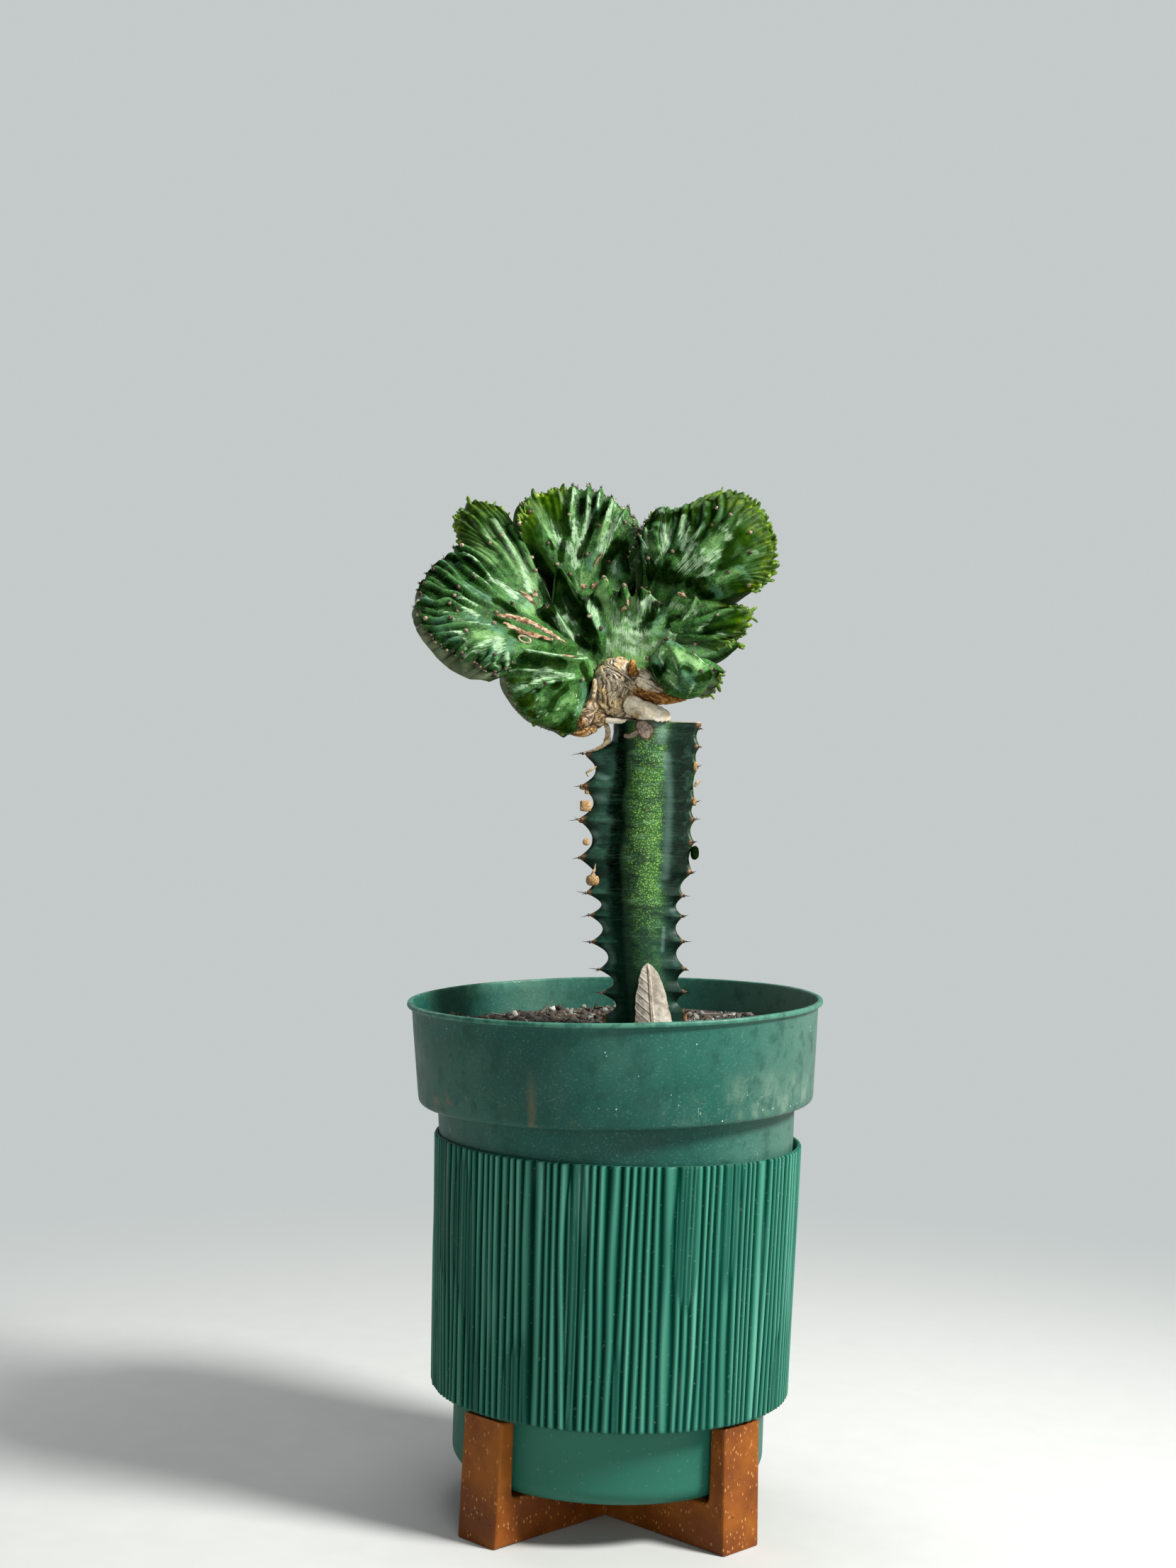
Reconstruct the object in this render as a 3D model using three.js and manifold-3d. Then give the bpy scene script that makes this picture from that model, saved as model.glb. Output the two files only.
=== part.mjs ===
// A grafted coral cactus in its nursery pot, set in a ribbed cover pot on a cross-shaped stand.
// Millimetres, +Z up. The origin is the middle of the stand's underside, on the surface that it stands on.
// -Y is the front, and the stand's legs point along the diagonals of X and Y.

import * as THREE from "three";
import { mergeVertices } from "three/addons/utils/BufferGeometryUtils.js";
import Module from "manifold-3d";

const wasm = await Module();
wasm.setup();

// Driving dimensions: stand
const STAND = {
  reach: 72.5, // outer face of a leg at the foot, from the middle
  topReach: 71.1, // outer face of a leg at its top
  inner: 64.0, // inner face of a leg
  width: 21.2, // across a beam and a leg
  beam: 18.0, // height of the crossed beams
  height: 48.2,
  edge: 1.0, // rounded edges
  fillet: 4.0, // inside corner between beam and leg
};

// Driving dimensions: cover pot
const SEAT_GAP = 0.3; // clearance where one piece rests on another
const COVER = {
  base: STAND.beam + SEAT_GAP,
  drum: 63.4, // outer radius of the smooth drum
  corner: 7.0, // rounded bottom corner
  wall: 2.0,
  step: 49.4, // underside of the ribbed sleeve
  ledge: 51.5, // ledge inside the step, on which the nursery pot stands
  top: 150.9,
  sleeveFoot: 73.1, // ridge tips at the sleeve's lower edge
  sleeveTop: 75.2, // ridge tips at the sleeve's upper edge
  ridges: 128,
  ridgeDepth: 1.15,
  skin: 1.9, // ridge tip to inner face
  lowerEdge: 0.9, // height in which the ridges start at the sleeve's foot
  upperEdge: 0.5, // height in which they end at its top
};

// Driving dimensions: nursery pot, along its own axis downwards from the rim
const POT = {
  rim: [-3.0, -1.0, 207.3], // middle of the rim
  leanLeft: 2.44, // degrees towards -X
  leanFront: 1.0, // degrees towards -Y
  lip: 85.0,
  lipInner: 82.7,
  lipHeight: 1.9,
  collarTop: 83.0,
  collarFoot: 80.5,
  collarHeight: 41.0,
  neck: 73.0,
  shoulder: 72.3, // where the pot enters the cover pot
  shoulderDepth: 57.5,
  foot: 64.0,
  height: 152.6,
  wall: 1.4,
  round: 1.6, // rounding of the collar's foot
  around: 48,
};
const DRAINS = { count: 6, radius: 5, at: 42, depth: 8 };
const SOIL = {
  depth: 13.5,
  gap: 0.3, // clearance to the pot
  lumps: 1.3,
  around: 36,
  rings: [0.97, 0.88, 0.78, 0.66, 0.52, 0.36, 0.18], // lumpy top, as shares of its radius
  hole: { top: 215, gap: 0.5 }, // hole in which the stem stands
};

// Driving dimensions: stem of the rootstock, heights in the object's frame
const STEM = {
  cut: 321.1, // flat top cut
  foot: 184.0, // end of the part that stands in the soil
  bodyTop: 14.0,
  bodyFoot: 11.8,
  bodyFull: 265, // height at which the body has reached its full radius
  wingTurn: [197, 325, 440], // degrees from +X, the left, right and back wings
  wingWidth: 0.2, // share of the arc between two wings that a wing's flank takes
  places: [0, 0.035, 0.1, 0.2, 0.35, 0.5, 0.65, 0.8, 0.9, 0.965], // points along the arc between two wings
  waist: 311, // the left wing ends its step here
  edge: 0.6, // chamfer round the cut
};
const STEM_AXIS = [[184, 11.5], [200, 11], [230, 8], [262, 6], [321.1, 6.6]]; // height, X
const WING_REACH = [
  [[184, 19], [205, 20.3], [219, 21], [231, 24], [245, 24], [264, 27.6], [280, 28.6], [307, 28], [311, 15],
    [321.1, 14.4]],
  [[184, 18.4], [205, 18.8], [220, 20.2], [245, 19.9], [253, 21], [260, 24.6], [290, 25.2], [321.1, 25.4]],
  [[184, 19], [240, 22.5], [280, 26], [321.1, 26]],
];
const TEETH = [
  [306.8, 293.5, 279.9, 264.4, 250.1, 241.2, 230.2, 219.1, 209.6, 200.2],
  [319.5, 311.1, 302.9, 288.8, 281.6, 272.5, 260.1, 250.5, 242.2, 232.0, 220.8, 211.4, 203.5],
  [319.5, 306.8, 293.5, 281.6, 272.5, 260.1, 250.1, 241.2, 232.0, 219.1, 209.6, 200.2],
];
const TOOTH_DEPTH = [5.6, 2.6, 4.2];
const SPINE = { length: 4.2, radius: 0.8, sunk: 1.5, inset: 0.8 };
const STUBS = [
  { middle: [26.2, -14.2, 267.6], radii: [3.0, 1.3, 2.6] }, // green bud
  { middle: [-15.6, -6.8, 286.2], radii: [3.4, 1.8, 2.6] }, // dried leaf stub
  { middle: [-13.4, -6.2, 255.4], radii: [3.2, 1.8, 2.4] }, // dried leaf stub
];

// Driving dimensions: crest, as fans that share one heart. Each fan runs from its hub line to its rim,
// whose points go clockwise as its face is seen. thick is the half thickness at hub, middle and rim.
// lap is how far a fan's underside swells out past its toothed rim at first, and where that has died away.
const FANS = [
  {
    // broad left fan, whose lower rim comes forward
    hub: [[-24, -8, 346.5], [-27.5, -5, 352.5], [-31, 0, 358.5], [-34.5, 6, 363.5]],
    rim: [[-53.5, -36, 335], [-64.5, -37, 339], [-75, -36, 346], [-84, -31, 354.5], [-88, -22, 364.5],
      [-85, -11, 376], [-77.5, -3, 385], [-73, 3, 391.5], [-75.5, 8, 400.5], [-69.5, 11, 409],
      [-58.5, 12, 407], [-51, 10, 399.5]],
    ribs: 26, split: 0.45, thick: [4, 6, 4.6], belly: 4, groove: 2.6, tooth: 2.2,
    bow: 4, ruffle: [1.2, 3, 0.3],
    lap: [5.5, 0.5],
  },
  {
    // upright middle fan
    hub: [[-28.5, 6, 372.5], [-22.5, 4, 370.5], [-5.5, 4, 374]],
    rim: [[-49, -3, 396], [-49.5, 2, 405.5], [-44.5, 9, 413], [-34, 14, 417.5], [-22, 16, 418],
      [-11.5, 15, 414.5], [-3.5, 12, 408.5], [-0.5, 7, 399], [-1.5, 4, 389]],
    ribs: 16, split: 0.55, thick: [4, 6, 4.2], belly: 2, groove: 2.8, tooth: 2.4,
    bow: -5, ruffle: [2, 2.2, 0],
  },
  {
    // upper right fan
    hub: [[2.5, 5, 374], [7, 4, 368.5], [18.5, 2, 364.5]],
    rim: [[-2.5, -1, 395], [3, 4, 405], [14, 8, 409.5], [26, 8, 413], [37.5, 6, 416], [48, 2, 411.5],
      [54.5, -2, 400.5], [55.5, -5, 388.5], [53, -6, 380], [47.5, -6, 374.5]],
    ribs: 24, split: 0.6, thick: [4, 6.5, 4.6], belly: 3, groove: 2, tooth: 2,
    bow: 5, ruffle: [2.5, 2, 1.5],
  },
  {
    // pointed fins in front of the heart, each second rim point a tip
    hub: [[-14, -4, 339.5], [-7, -5, 337.5], [3, -4, 340.5]],
    rim: [[-42.5, -12, 358.5], [-37.5, -14, 366.5], [-34, -11, 367], [-32.5, -6, 383], [-21, -7, 370.5],
      [-13.5, -14, 379], [-9, -8, 371.5], [-5.5, -14, 376], [-2, -9, 371.5], [2, -13, 375],
      [10.5, -9, 369.5], [18, -13, 374.5], [21.5, -10, 369.5], [24.5, -12, 372], [29.5, -10, 361]],
    ribs: 7, split: 0, thick: [3, 6, 2], belly: 3, groove: 2, tooth: 0.6,
    bow: -5, ruffle: [0, 1, 0],
  },
  {
    // small right lobe
    hub: [[12.5, -2, 364.5], [14, -4, 359.5], [16, -4, 354]],
    rim: [[30, -2, 366], [38.5, -4, 368.5], [46.5, -2, 367], [45, -6, 360], [40.5, -4, 355.5],
      [33.5, -6, 350.5]],
    ribs: 9, split: 0, thick: [5, 5, 2.5], belly: 0, groove: 1.4, tooth: 2.4,
    bow: 2, ruffle: [2.5, 2.5, 0],
  },
  {
    // rounded knuckle over the right of the foot
    hub: [[7, -8, 340.5], [10.5, -8, 337], [15.5, -8, 333]],
    rim: [[5, -18, 345.5], [12.5, -21, 353], [23.5, -23, 348], [31, -22, 341], [28.5, -19, 335],
      [24, -16, 330]],
    ribs: 4, split: 0, thick: [4, 7.5, 4], belly: 0, groove: 2, tooth: 1.8,
    bow: 5, ruffle: [0, 1, 0],
  },
  {
    // lower left fan
    hub: [[-20, -5, 322], [-17, -6, 328.5], [-15, -7, 338], [-16.5, -7, 346.5]],
    rim: [[-26.5, -14, 314], [-33.5, -20, 316], [-41, -25, 319], [-47.5, -30, 325], [-51.5, -33, 332.5],
      [-51.5, -34, 341], [-46, -32, 347.5]],
    ribs: 9, split: 0, thick: [4, 6, 4], belly: 4, groove: 2.6, tooth: 2,
    bow: 4, ruffle: [1, 2, 0],
    lap: [3, 1],
  },
  {
    // upper back fan
    hub: [[-26, 0, 350], [-12, 4, 356], [10, 4, 352]],
    rim: [[-58, 20, 350], [-52, 40, 364], [-26, 56, 374], [6, 58, 376], [32, 46, 368], [46, 24, 354]],
    ribs: 17, split: 0.5, thick: [4, 6.5, 4.6], belly: 2, groove: 2.6, tooth: 2.2,
    bow: -5, ruffle: [4, 3, 0.5],
  },
  {
    // lower back fan
    hub: [[-22, 2, 346], [-6, 4, 341], [14, 2, 346]],
    rim: [[-54, 14, 338], [-42, 34, 331], [-14, 46, 330], [14, 44, 333], [32, 30, 337], [38, 14, 342]],
    ribs: 12, split: 0, thick: [4, 6, 4.4], belly: 2, groove: 2.4, tooth: 2.2,
    bow: 4, ruffle: [3, 2, 0.5],
  },
];
const FAN_ROWS = [0, 0.35, 0.7, 0.9]; // shares of the way from hub to rim, on either face
const RIB_SAMPLES = 2;
const RIB_BLEND = 0.1; // half the share in which broad ribs split into fine ones
const EVEN_RIBS = 1.2; // ribs over which a fan's facing is evened out
const SIDE = { share: 0.06, thin: 0.25 }; // a fan thins towards its two sides
const ROUND_FROM = 0.8; // share of the way to the rim where the edge starts to round off
const LAP_DEPTH = 1.3; // the swelling lies this many half thicknesses behind the rim
const HEART = [
  { middle: [-14, 9, 355.5], radii: [22, 15, 17] },
  { middle: [-34, 13, 371], radii: [10, 7, 15] }, // web behind the left and middle fans
  { middle: [-1, 12, 374], radii: [9, 6, 15] }, // web behind the middle and right fans
];
const FOOT_LUMPS = [
  { middle: [-2, 1, 331], radii: [13.5, 12.5, 14] }, // trunk on the cut
  { middle: [-4.5, 0, 338], radii: [12.5, 10.5, 13] }, // trunk under the fins
  { middle: [13.5, -5, 335.5], radii: [13, 6, 4.5] }, // arm under the knuckle
  { middle: [-17, -5, 325], radii: [9, 5, 6] }, // tail under the lower left fan
  { middle: [5.5, -7, 326], radii: [10.5, 6.5, 4.8] }, // pale lump that lies on the cut
];

// Driving dimensions: dried leaf on the front of the stem
const LEAF = {
  foot: 196.2,
  tip: 223,
  middle: [12.5, 9.4], // X at foot and at tip
  halfWidth: [[0, 6.5], [0.1, 7.9], [0.37, 6.9], [0.55, 6.2], [0.74, 4.8], [0.87, 3.5], [0.96, 2], [1, 0.8]],
  thickness: 0.8,
  stand: [-19.2, -15.8], // Y at foot and at tip
  cup: 0.035, // how far the edges bend back, for each squared millimetre from the middle
  rows: 9,
};

const SLIVER = 0.3; // joined bodies lose edges shorter than this

const COLOURS = {
  stand: [0x7a4a2a, 0.75],
  cover_pot: [0x1f6f5c, 0.5],
  nursery_pot: [0x2a6353, 0.55],
  soil: [0x4b3a30, 0.95],
  rootstock: [0x1f4a2a, 0.5],
  crest: [0x2c6a3a, 0.5],
  dry_leaf: [0xb5a994, 0.85],
};

// Helpers

function seeded(seed) {
  let state = seed;
  return () => {
    state = (state + 0x6d2b79f5) | 0;
    let t = Math.imul(state ^ (state >>> 15), 1 | state);
    t = (t + Math.imul(t ^ (t >>> 7), 61 | t)) ^ t;
    return ((t ^ (t >>> 14)) >>> 0) / 4294967296;
  };
}

function between(table, at) {
  // straight-line reading of a table of [place, value] rows
  if (at <= table[0][0]) return table[0][1];
  for (let i = 1; i < table.length; i++) {
    if (at <= table[i][0]) {
      const share = (at - table[i - 1][0]) / (table[i][0] - table[i - 1][0]);
      return THREE.MathUtils.lerp(table[i - 1][1], table[i][1], share);
    }
  }
  return table[table.length - 1][1];
}

function indexed(points, triangles) {
  const geometry = new THREE.BufferGeometry();
  geometry.setAttribute("position", new THREE.Float32BufferAttribute(points, 3));
  geometry.setIndex(triangles);
  return geometry;
}

// A closed body from loops of points, each counter-clockwise as seen from where the loops are heading.
// A loop of one point is a pole, and a loop may have a whole multiple of its neighbour's points.
function fromLoops(loops) {
  const points = [];
  const triangles = [];
  const starts = loops.map((loop) => {
    const start = points.length / 3;
    loop.forEach((p) => points.push(...p));
    return start;
  });
  for (let i = 0; i + 1 < loops.length; i++) {
    const lows = loops[i].length;
    const highs = loops[i + 1].length;
    const low = (j) => starts[i] + (j % lows);
    const high = (j) => starts[i + 1] + (j % highs);
    if (lows === 1) {
      for (let k = 0; k < highs; k++) triangles.push(low(0), high(k + 1), high(k));
      continue;
    }
    if (highs === 1) {
      for (let k = 0; k < lows; k++) triangles.push(low(k), low(k + 1), high(0));
      continue;
    }
    const perLow = Math.max(1, highs / lows);
    const perHigh = Math.max(1, lows / highs);
    for (let j = 0; j < Math.min(lows, highs); j++) {
      const a = j * perHigh;
      const b = j * perLow;
      for (let k = 0; k < perHigh; k++) triangles.push(low(a + k), low(a + k + 1), high(b));
      for (let k = 0; k < perLow; k++) triangles.push(low(a + perHigh), high(b + k + 1), high(b + k));
    }
  }
  return indexed(points, triangles);
}

function centre(loop) {
  // a pole in the middle of a loop
  return [loop.reduce((sum, p) => sum.map((s, k) => s + p[k] / loop.length), [0, 0, 0])];
}

function circle(radius, height, count) {
  return Array.from({ length: count }, (_, j) => {
    const turn = (2 * Math.PI * j) / count;
    return [radius * Math.cos(turn), radius * Math.sin(turn), height];
  });
}

function toSolid(geometry) {
  const bare = geometry.clone();
  bare.deleteAttribute("normal");
  bare.deleteAttribute("uv");
  const merged = mergeVertices(bare, 1e-4);
  return new wasm.Manifold(new wasm.Mesh({
    numProp: 3,
    vertProperties: new Float32Array(merged.attributes.position.array),
    triVerts: new Uint32Array(merged.index.array),
  }));
}

function outerShell(solid) {
  // the largest connected surface alone, without sealed hollows and loose scraps
  return solid.decompose().sort((a, b) => b.volume() - a.volume())[0];
}

function toGeometry(solid) {
  const mesh = solid.getMesh();
  return indexed(Array.from(mesh.vertProperties), Array.from(mesh.triVerts));
}

function ellipsoid(middle, radii, around = 12, rows = 8) {
  const ball = new THREE.SphereGeometry(1, around, rows);
  ball.scale(...radii);
  ball.translate(...middle);
  return ball;
}

function finish(name, geometry) {
  const [colour, roughness] = COLOURS[name];
  const plain = geometry.index ? geometry.toNonIndexed() : geometry;
  plain.computeVertexNormals();
  const material = new THREE.MeshStandardMaterial({ color: colour, roughness, metalness: 0 });
  const mesh = new THREE.Mesh(plain, material);
  mesh.name = name;
  return mesh;
}

// Stand: two crossed U-shaped beams, joined into one moulding

function uBeam() {
  const s = STAND;
  const e = s.edge;
  const outline = new THREE.Shape();
  outline.moveTo(-s.reach + e, e);
  outline.lineTo(s.reach - e, e);
  outline.lineTo(s.topReach - e, s.height - e);
  outline.lineTo(s.inner + e, s.height - e);
  outline.lineTo(s.inner + e, s.beam - e + s.fillet);
  outline.quadraticCurveTo(s.inner + e, s.beam - e, s.inner + e - s.fillet, s.beam - e);
  outline.lineTo(-s.inner - e + s.fillet, s.beam - e);
  outline.quadraticCurveTo(-s.inner - e, s.beam - e, -s.inner - e, s.beam - e + s.fillet);
  outline.lineTo(-s.inner - e, s.height - e);
  outline.lineTo(-s.topReach + e, s.height - e);
  outline.closePath();
  const beam = new THREE.ExtrudeGeometry(outline, {
    depth: s.width - 2 * e,
    bevelEnabled: true,
    bevelThickness: e,
    bevelSize: e,
    bevelSegments: 2,
    curveSegments: 3,
  });
  beam.translate(0, 0, e - s.width / 2);
  beam.rotateX(Math.PI / 2);
  return beam;
}

function stand() {
  const one = uBeam().rotateZ(Math.PI / 4);
  const other = uBeam().rotateZ(-Math.PI / 4);
  return toGeometry(toSolid(one).add(toSolid(other)));
}

// Cover pot: a drum with a wider sleeve of irregular upright ridges

function ridgedLoop(height, tip, depth, ridges) {
  const loop = [];
  ridges.forEach((ridge) => {
    const sway = ridge.sway * Math.sin(ridge.turns * height + ridge.phase);
    loop.push([ridge.at + sway, tip - depth * ridge.deep]);
    loop.push([ridge.at + 0.5 + sway * 0.5, tip - depth * ridge.low]);
  });
  return loop.map(([place, radius]) => {
    const turn = (2 * Math.PI * place) / ridges.length;
    return [radius * Math.cos(turn), radius * Math.sin(turn), height];
  });
}

function coverPot() {
  const c = COVER;
  const draw = seeded(11);
  const ridges = Array.from({ length: c.ridges }, (_, k) => ({
    at: k,
    sway: 0.28 * draw(),
    turns: 0.03 + 0.05 * draw(),
    phase: 2 * Math.PI * draw(),
    deep: 0.75 + 0.25 * draw(),
    low: 0.25 * draw() ** 2,
  }));
  const around = c.ridges / 2;
  const sleeve = (z) => THREE.MathUtils.mapLinear(z, c.step, c.top, c.sleeveFoot, c.sleeveTop);
  const inside = (z) => sleeve(z) - c.skin;
  const loops = [[[0, 0, c.base]]];
  for (const turn of [0, 30, 60, 90]) {
    const a = THREE.MathUtils.degToRad(turn);
    loops.push(circle(c.drum - c.corner * (1 - Math.sin(a)), c.base + c.corner * (1 - Math.cos(a)), around));
  }
  loops.push(circle(c.drum, c.step, around));
  loops.push(circle(inside(c.step), c.step, around));
  loops.push(ridgedLoop(c.step + c.lowerEdge, sleeve(c.step), c.ridgeDepth, ridges));
  loops.push(ridgedLoop(c.top - c.upperEdge, sleeve(c.top), c.ridgeDepth, ridges));
  loops.push(circle(sleeve(c.top) - c.ridgeDepth, c.top, around));
  loops.push(circle(inside(c.top), c.top, around));
  loops.push(circle(inside(c.ledge), c.ledge, around));
  loops.push(circle(c.drum - c.wall, c.ledge, around));
  for (const turn of [90, 45, 0]) {
    const a = THREE.MathUtils.degToRad(turn);
    const r = c.corner - c.wall;
    const height = c.base + c.wall + r * (1 - Math.cos(a));
    loops.push(circle(c.drum - c.wall - r * (1 - Math.sin(a)), height, around));
  }
  loops.push([[0, 0, c.base + c.wall]]);
  return fromLoops(loops);
}

// Nursery pot, in its own frame: the rim's middle at the origin and the pot below it

function nurseryPot() {
  const p = POT;
  const profile = [
    [p.foot - p.round, -p.height],
    [p.foot, -p.height + p.round],
    [p.shoulder, -p.shoulderDepth],
    [p.neck, -p.collarHeight - 0.4],
    [p.collarFoot - p.round, -p.collarHeight],
    [p.collarFoot, -p.collarHeight + p.round],
    [p.collarTop, -p.lipHeight - 0.3],
    [p.lip - 0.3, -p.lipHeight],
    [p.lip, -p.lipHeight / 2],
    [p.lip - 0.6, 0],
    [p.lipInner + 0.4, 0],
    [p.lipInner, -0.6],
    [p.collarFoot - p.wall - 0.4, -p.collarHeight + p.wall],
    [p.neck - p.wall, -p.collarHeight + p.wall - 0.4],
    [p.shoulder - p.wall, -p.shoulderDepth],
    [p.foot - p.wall, -p.height + p.wall],
  ];
  const rings = profile.map(([r, z]) => circle(r, z, p.around));
  let solid = toSolid(fromLoops([[[0, 0, -p.height]], ...rings, [[0, 0, -p.height + p.wall]]]));
  for (let k = 0; k < DRAINS.count; k++) {
    const hole = new THREE.CylinderGeometry(DRAINS.radius, DRAINS.radius, DRAINS.depth, 8);
    hole.rotateX(Math.PI / 2);
    const turn = (2 * Math.PI * (k + 0.5)) / DRAINS.count;
    hole.translate(DRAINS.at * Math.cos(turn), DRAINS.at * Math.sin(turn), -p.height);
    solid = solid.subtract(toSolid(hole));
  }
  return toGeometry(solid);
}

function potFrame() {
  const group = new THREE.Group();
  group.position.set(...POT.rim);
  group.rotation.set(THREE.MathUtils.degToRad(POT.leanFront), -THREE.MathUtils.degToRad(POT.leanLeft), 0);
  group.updateMatrix();
  return group;
}

// Soil: fills the nursery pot, lumpy on top, with the hole in which the stem stands

function soil(potMatrix) {
  const p = POT;
  const w = p.wall + SOIL.gap;
  const around = SOIL.around;
  const draw = seeded(5);
  const inner = (depth) => between(
    [[0, p.lipInner], [p.collarHeight - p.wall, p.collarFoot - p.wall - 0.4]], depth) - SOIL.gap - 0.4;
  const ledge = p.collarHeight - p.wall - SOIL.gap - 0.3;
  const loops = [
    [[0, 0, -p.height + w]],
    circle(p.foot - w - 0.3, -p.height + w, around),
    circle(p.shoulder - w, -p.shoulderDepth, around),
    circle(p.neck - w - 0.2, -ledge - 0.6, around),
    circle(inner(ledge), -ledge, around),
    circle(inner(SOIL.depth + 1), -SOIL.depth - 1, around),
  ];
  for (const share of SOIL.rings) {
    const loop = circle(inner(SOIL.depth) * share, -SOIL.depth, around);
    loops.push(loop.map(([x, y, z]) => [x, y, z + SOIL.lumps * (2 * draw() - 1)]));
  }
  loops.push([[0, 0, -SOIL.depth]]);
  const fill = fromLoops(loops).applyMatrix4(potMatrix);
  const hole = stemSolid(STEM.foot - SEAT_GAP, SOIL.hole.top, SOIL.hole.gap, false);
  return toGeometry(toSolid(fill).subtract(toSolid(hole)));
}

// Rootstock: a stem with three toothed wings

function toothShare(teeth, height) {
  // 0 on a tooth's tip, 1 in the hollow between two teeth
  const above = teeth.filter((t) => t >= height).pop();
  const below = teeth.find((t) => t <= height);
  if (above === undefined || below === undefined || above === below) return 0;
  return Math.sin((Math.PI * (height - below)) / (above - below)) ** 0.6;
}

function stemLoop(height, grow, toothed) {
  const s = STEM;
  const grown = Math.min(height, s.bodyFull);
  const body = THREE.MathUtils.mapLinear(grown, s.foot, s.bodyFull, s.bodyFoot, s.bodyTop);
  const axis = between(STEM_AXIS, height);
  const reach = WING_REACH.map((table, w) => {
    const bite = toothed ? TOOTH_DEPTH[w] * toothShare(TEETH[w], height) : 0;
    return Math.max(between(table, height) - bite, body);
  });
  const loop = [];
  for (let w = 0; w < 3; w++) {
    const from = s.wingTurn[w];
    const to = w === 2 ? s.wingTurn[0] + 360 : s.wingTurn[w + 1];
    for (const place of s.places) {
      const near = place <= 0.5 ? place : 1 - place;
      const wing = reach[place <= 0.5 ? w : (w + 1) % 3];
      const flank = Math.max(0, 1 - near / s.wingWidth) ** 1.7;
      const radius = body + (wing - body) * flank + grow;
      const turn = THREE.MathUtils.degToRad(THREE.MathUtils.lerp(from, to, place));
      loop.push([axis + radius * Math.cos(turn), radius * Math.sin(turn), height]);
    }
  }
  return loop;
}

function stemSolid(from, to, grow, toothed) {
  const tips = TEETH.flat();
  const hollows = TEETH.slice(0, 2).flatMap((row) => row.slice(1).map((t, i) => (t + row[i]) / 2));
  const wanted = [...tips.map((t) => [t, 1]), ...hollows.map((t) => [t, 0]), [STEM.waist, 1]];
  const heights = [];
  wanted.sort((a, b) => b[1] - a[1]);
  for (const [t, isTip] of wanted) {
    const apart = isTip ? 0.3 : 1.6;
    if (t < to - 1 && t > from + 1 && heights.every((h) => Math.abs(h - t) > apart)) heights.push(t);
  }
  heights.sort((a, b) => a - b);
  const all = toothed ? [from, 194, ...heights, to - STEM.edge] : [from, 189, 194, 199, 205, 210];
  const loops = all.map((z) => stemLoop(z, grow, toothed));
  loops.push(stemLoop(to, toothed ? grow - STEM.edge : grow, toothed));
  const axis = (z) => between(STEM_AXIS, z);
  return fromLoops([[[axis(from), 0, from]], ...loops, [[axis(to), 0, to]]]);
}

function spine(at, direction, length, radius) {
  const cone = new THREE.ConeGeometry(radius, length, 3);
  cone.translate(0, length / 2 - SPINE.sunk, 0);
  const upright = new THREE.Vector3(0, 1, 0);
  cone.applyQuaternion(new THREE.Quaternion().setFromUnitVectors(upright, direction.clone().normalize()));
  cone.translate(at.x, at.y, at.z);
  return cone;
}

function rootstock() {
  const draw = seeded(23);
  const parts = [toSolid(stemSolid(STEM.foot, STEM.cut, 0, true))];
  TEETH.forEach((row, w) => {
    const turn = THREE.MathUtils.degToRad(STEM.wingTurn[w]);
    const out = new THREE.Vector3(Math.cos(turn), Math.sin(turn), 0);
    for (const z of row) {
      if (z > STEM.cut - 3) continue;
      const at = out.clone().multiplyScalar(between(WING_REACH[w], z) - SPINE.inset);
      at.add(new THREE.Vector3(between(STEM_AXIS, z), 0, z));
      const direction = out.clone().add(new THREE.Vector3(0, 0, 0.5 * (draw() - 0.5)));
      parts.push(toSolid(spine(at, direction, SPINE.length + SPINE.sunk, SPINE.radius)));
    }
  });
  STUBS.forEach((stub) => parts.push(toSolid(ellipsoid(stub.middle, stub.radii, 8, 6))));
  return toGeometry(wasm.Manifold.union(parts).simplify(SLIVER));
}

// Crest: ribbed, toothed fans around one heart, on a corky foot

function ribHeight(turns) {
  return Math.abs(Math.sin(Math.PI * turns)) ** 0.7;
}

function fanNormals(middle, rows, window) {
  // square to the surface, evened out along the rim, and held from the middle down to the hub
  const columns = middle.length;
  const raw = middle.map((column, i) => column.map((_, j) => {
    const before = middle[Math.max(i - 1, 0)][j];
    const after = middle[Math.min(i + 1, columns - 1)][j];
    const low = column[Math.max(j - 1, 0)];
    const high = column[Math.min(j + 1, rows.length - 1)];
    const along = after.clone().sub(before);
    return along.cross(high.clone().sub(low)).normalize();
  }));
  const firstOuter = rows.findIndex((v) => v >= 0.5);
  return raw.map((column, i) => column.map((_, j) => {
    const sum = new THREE.Vector3();
    for (let k = -window; k <= window; k++) {
      sum.add(raw[THREE.MathUtils.clamp(i + k, 0, columns - 1)][Math.max(j, firstOuter)]);
    }
    return sum.normalize();
  }));
}

function curve(points) {
  return new THREE.CatmullRomCurve3(points.map((p) => new THREE.Vector3(...p)), false, "catmullrom", 0.5);
}

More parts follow.
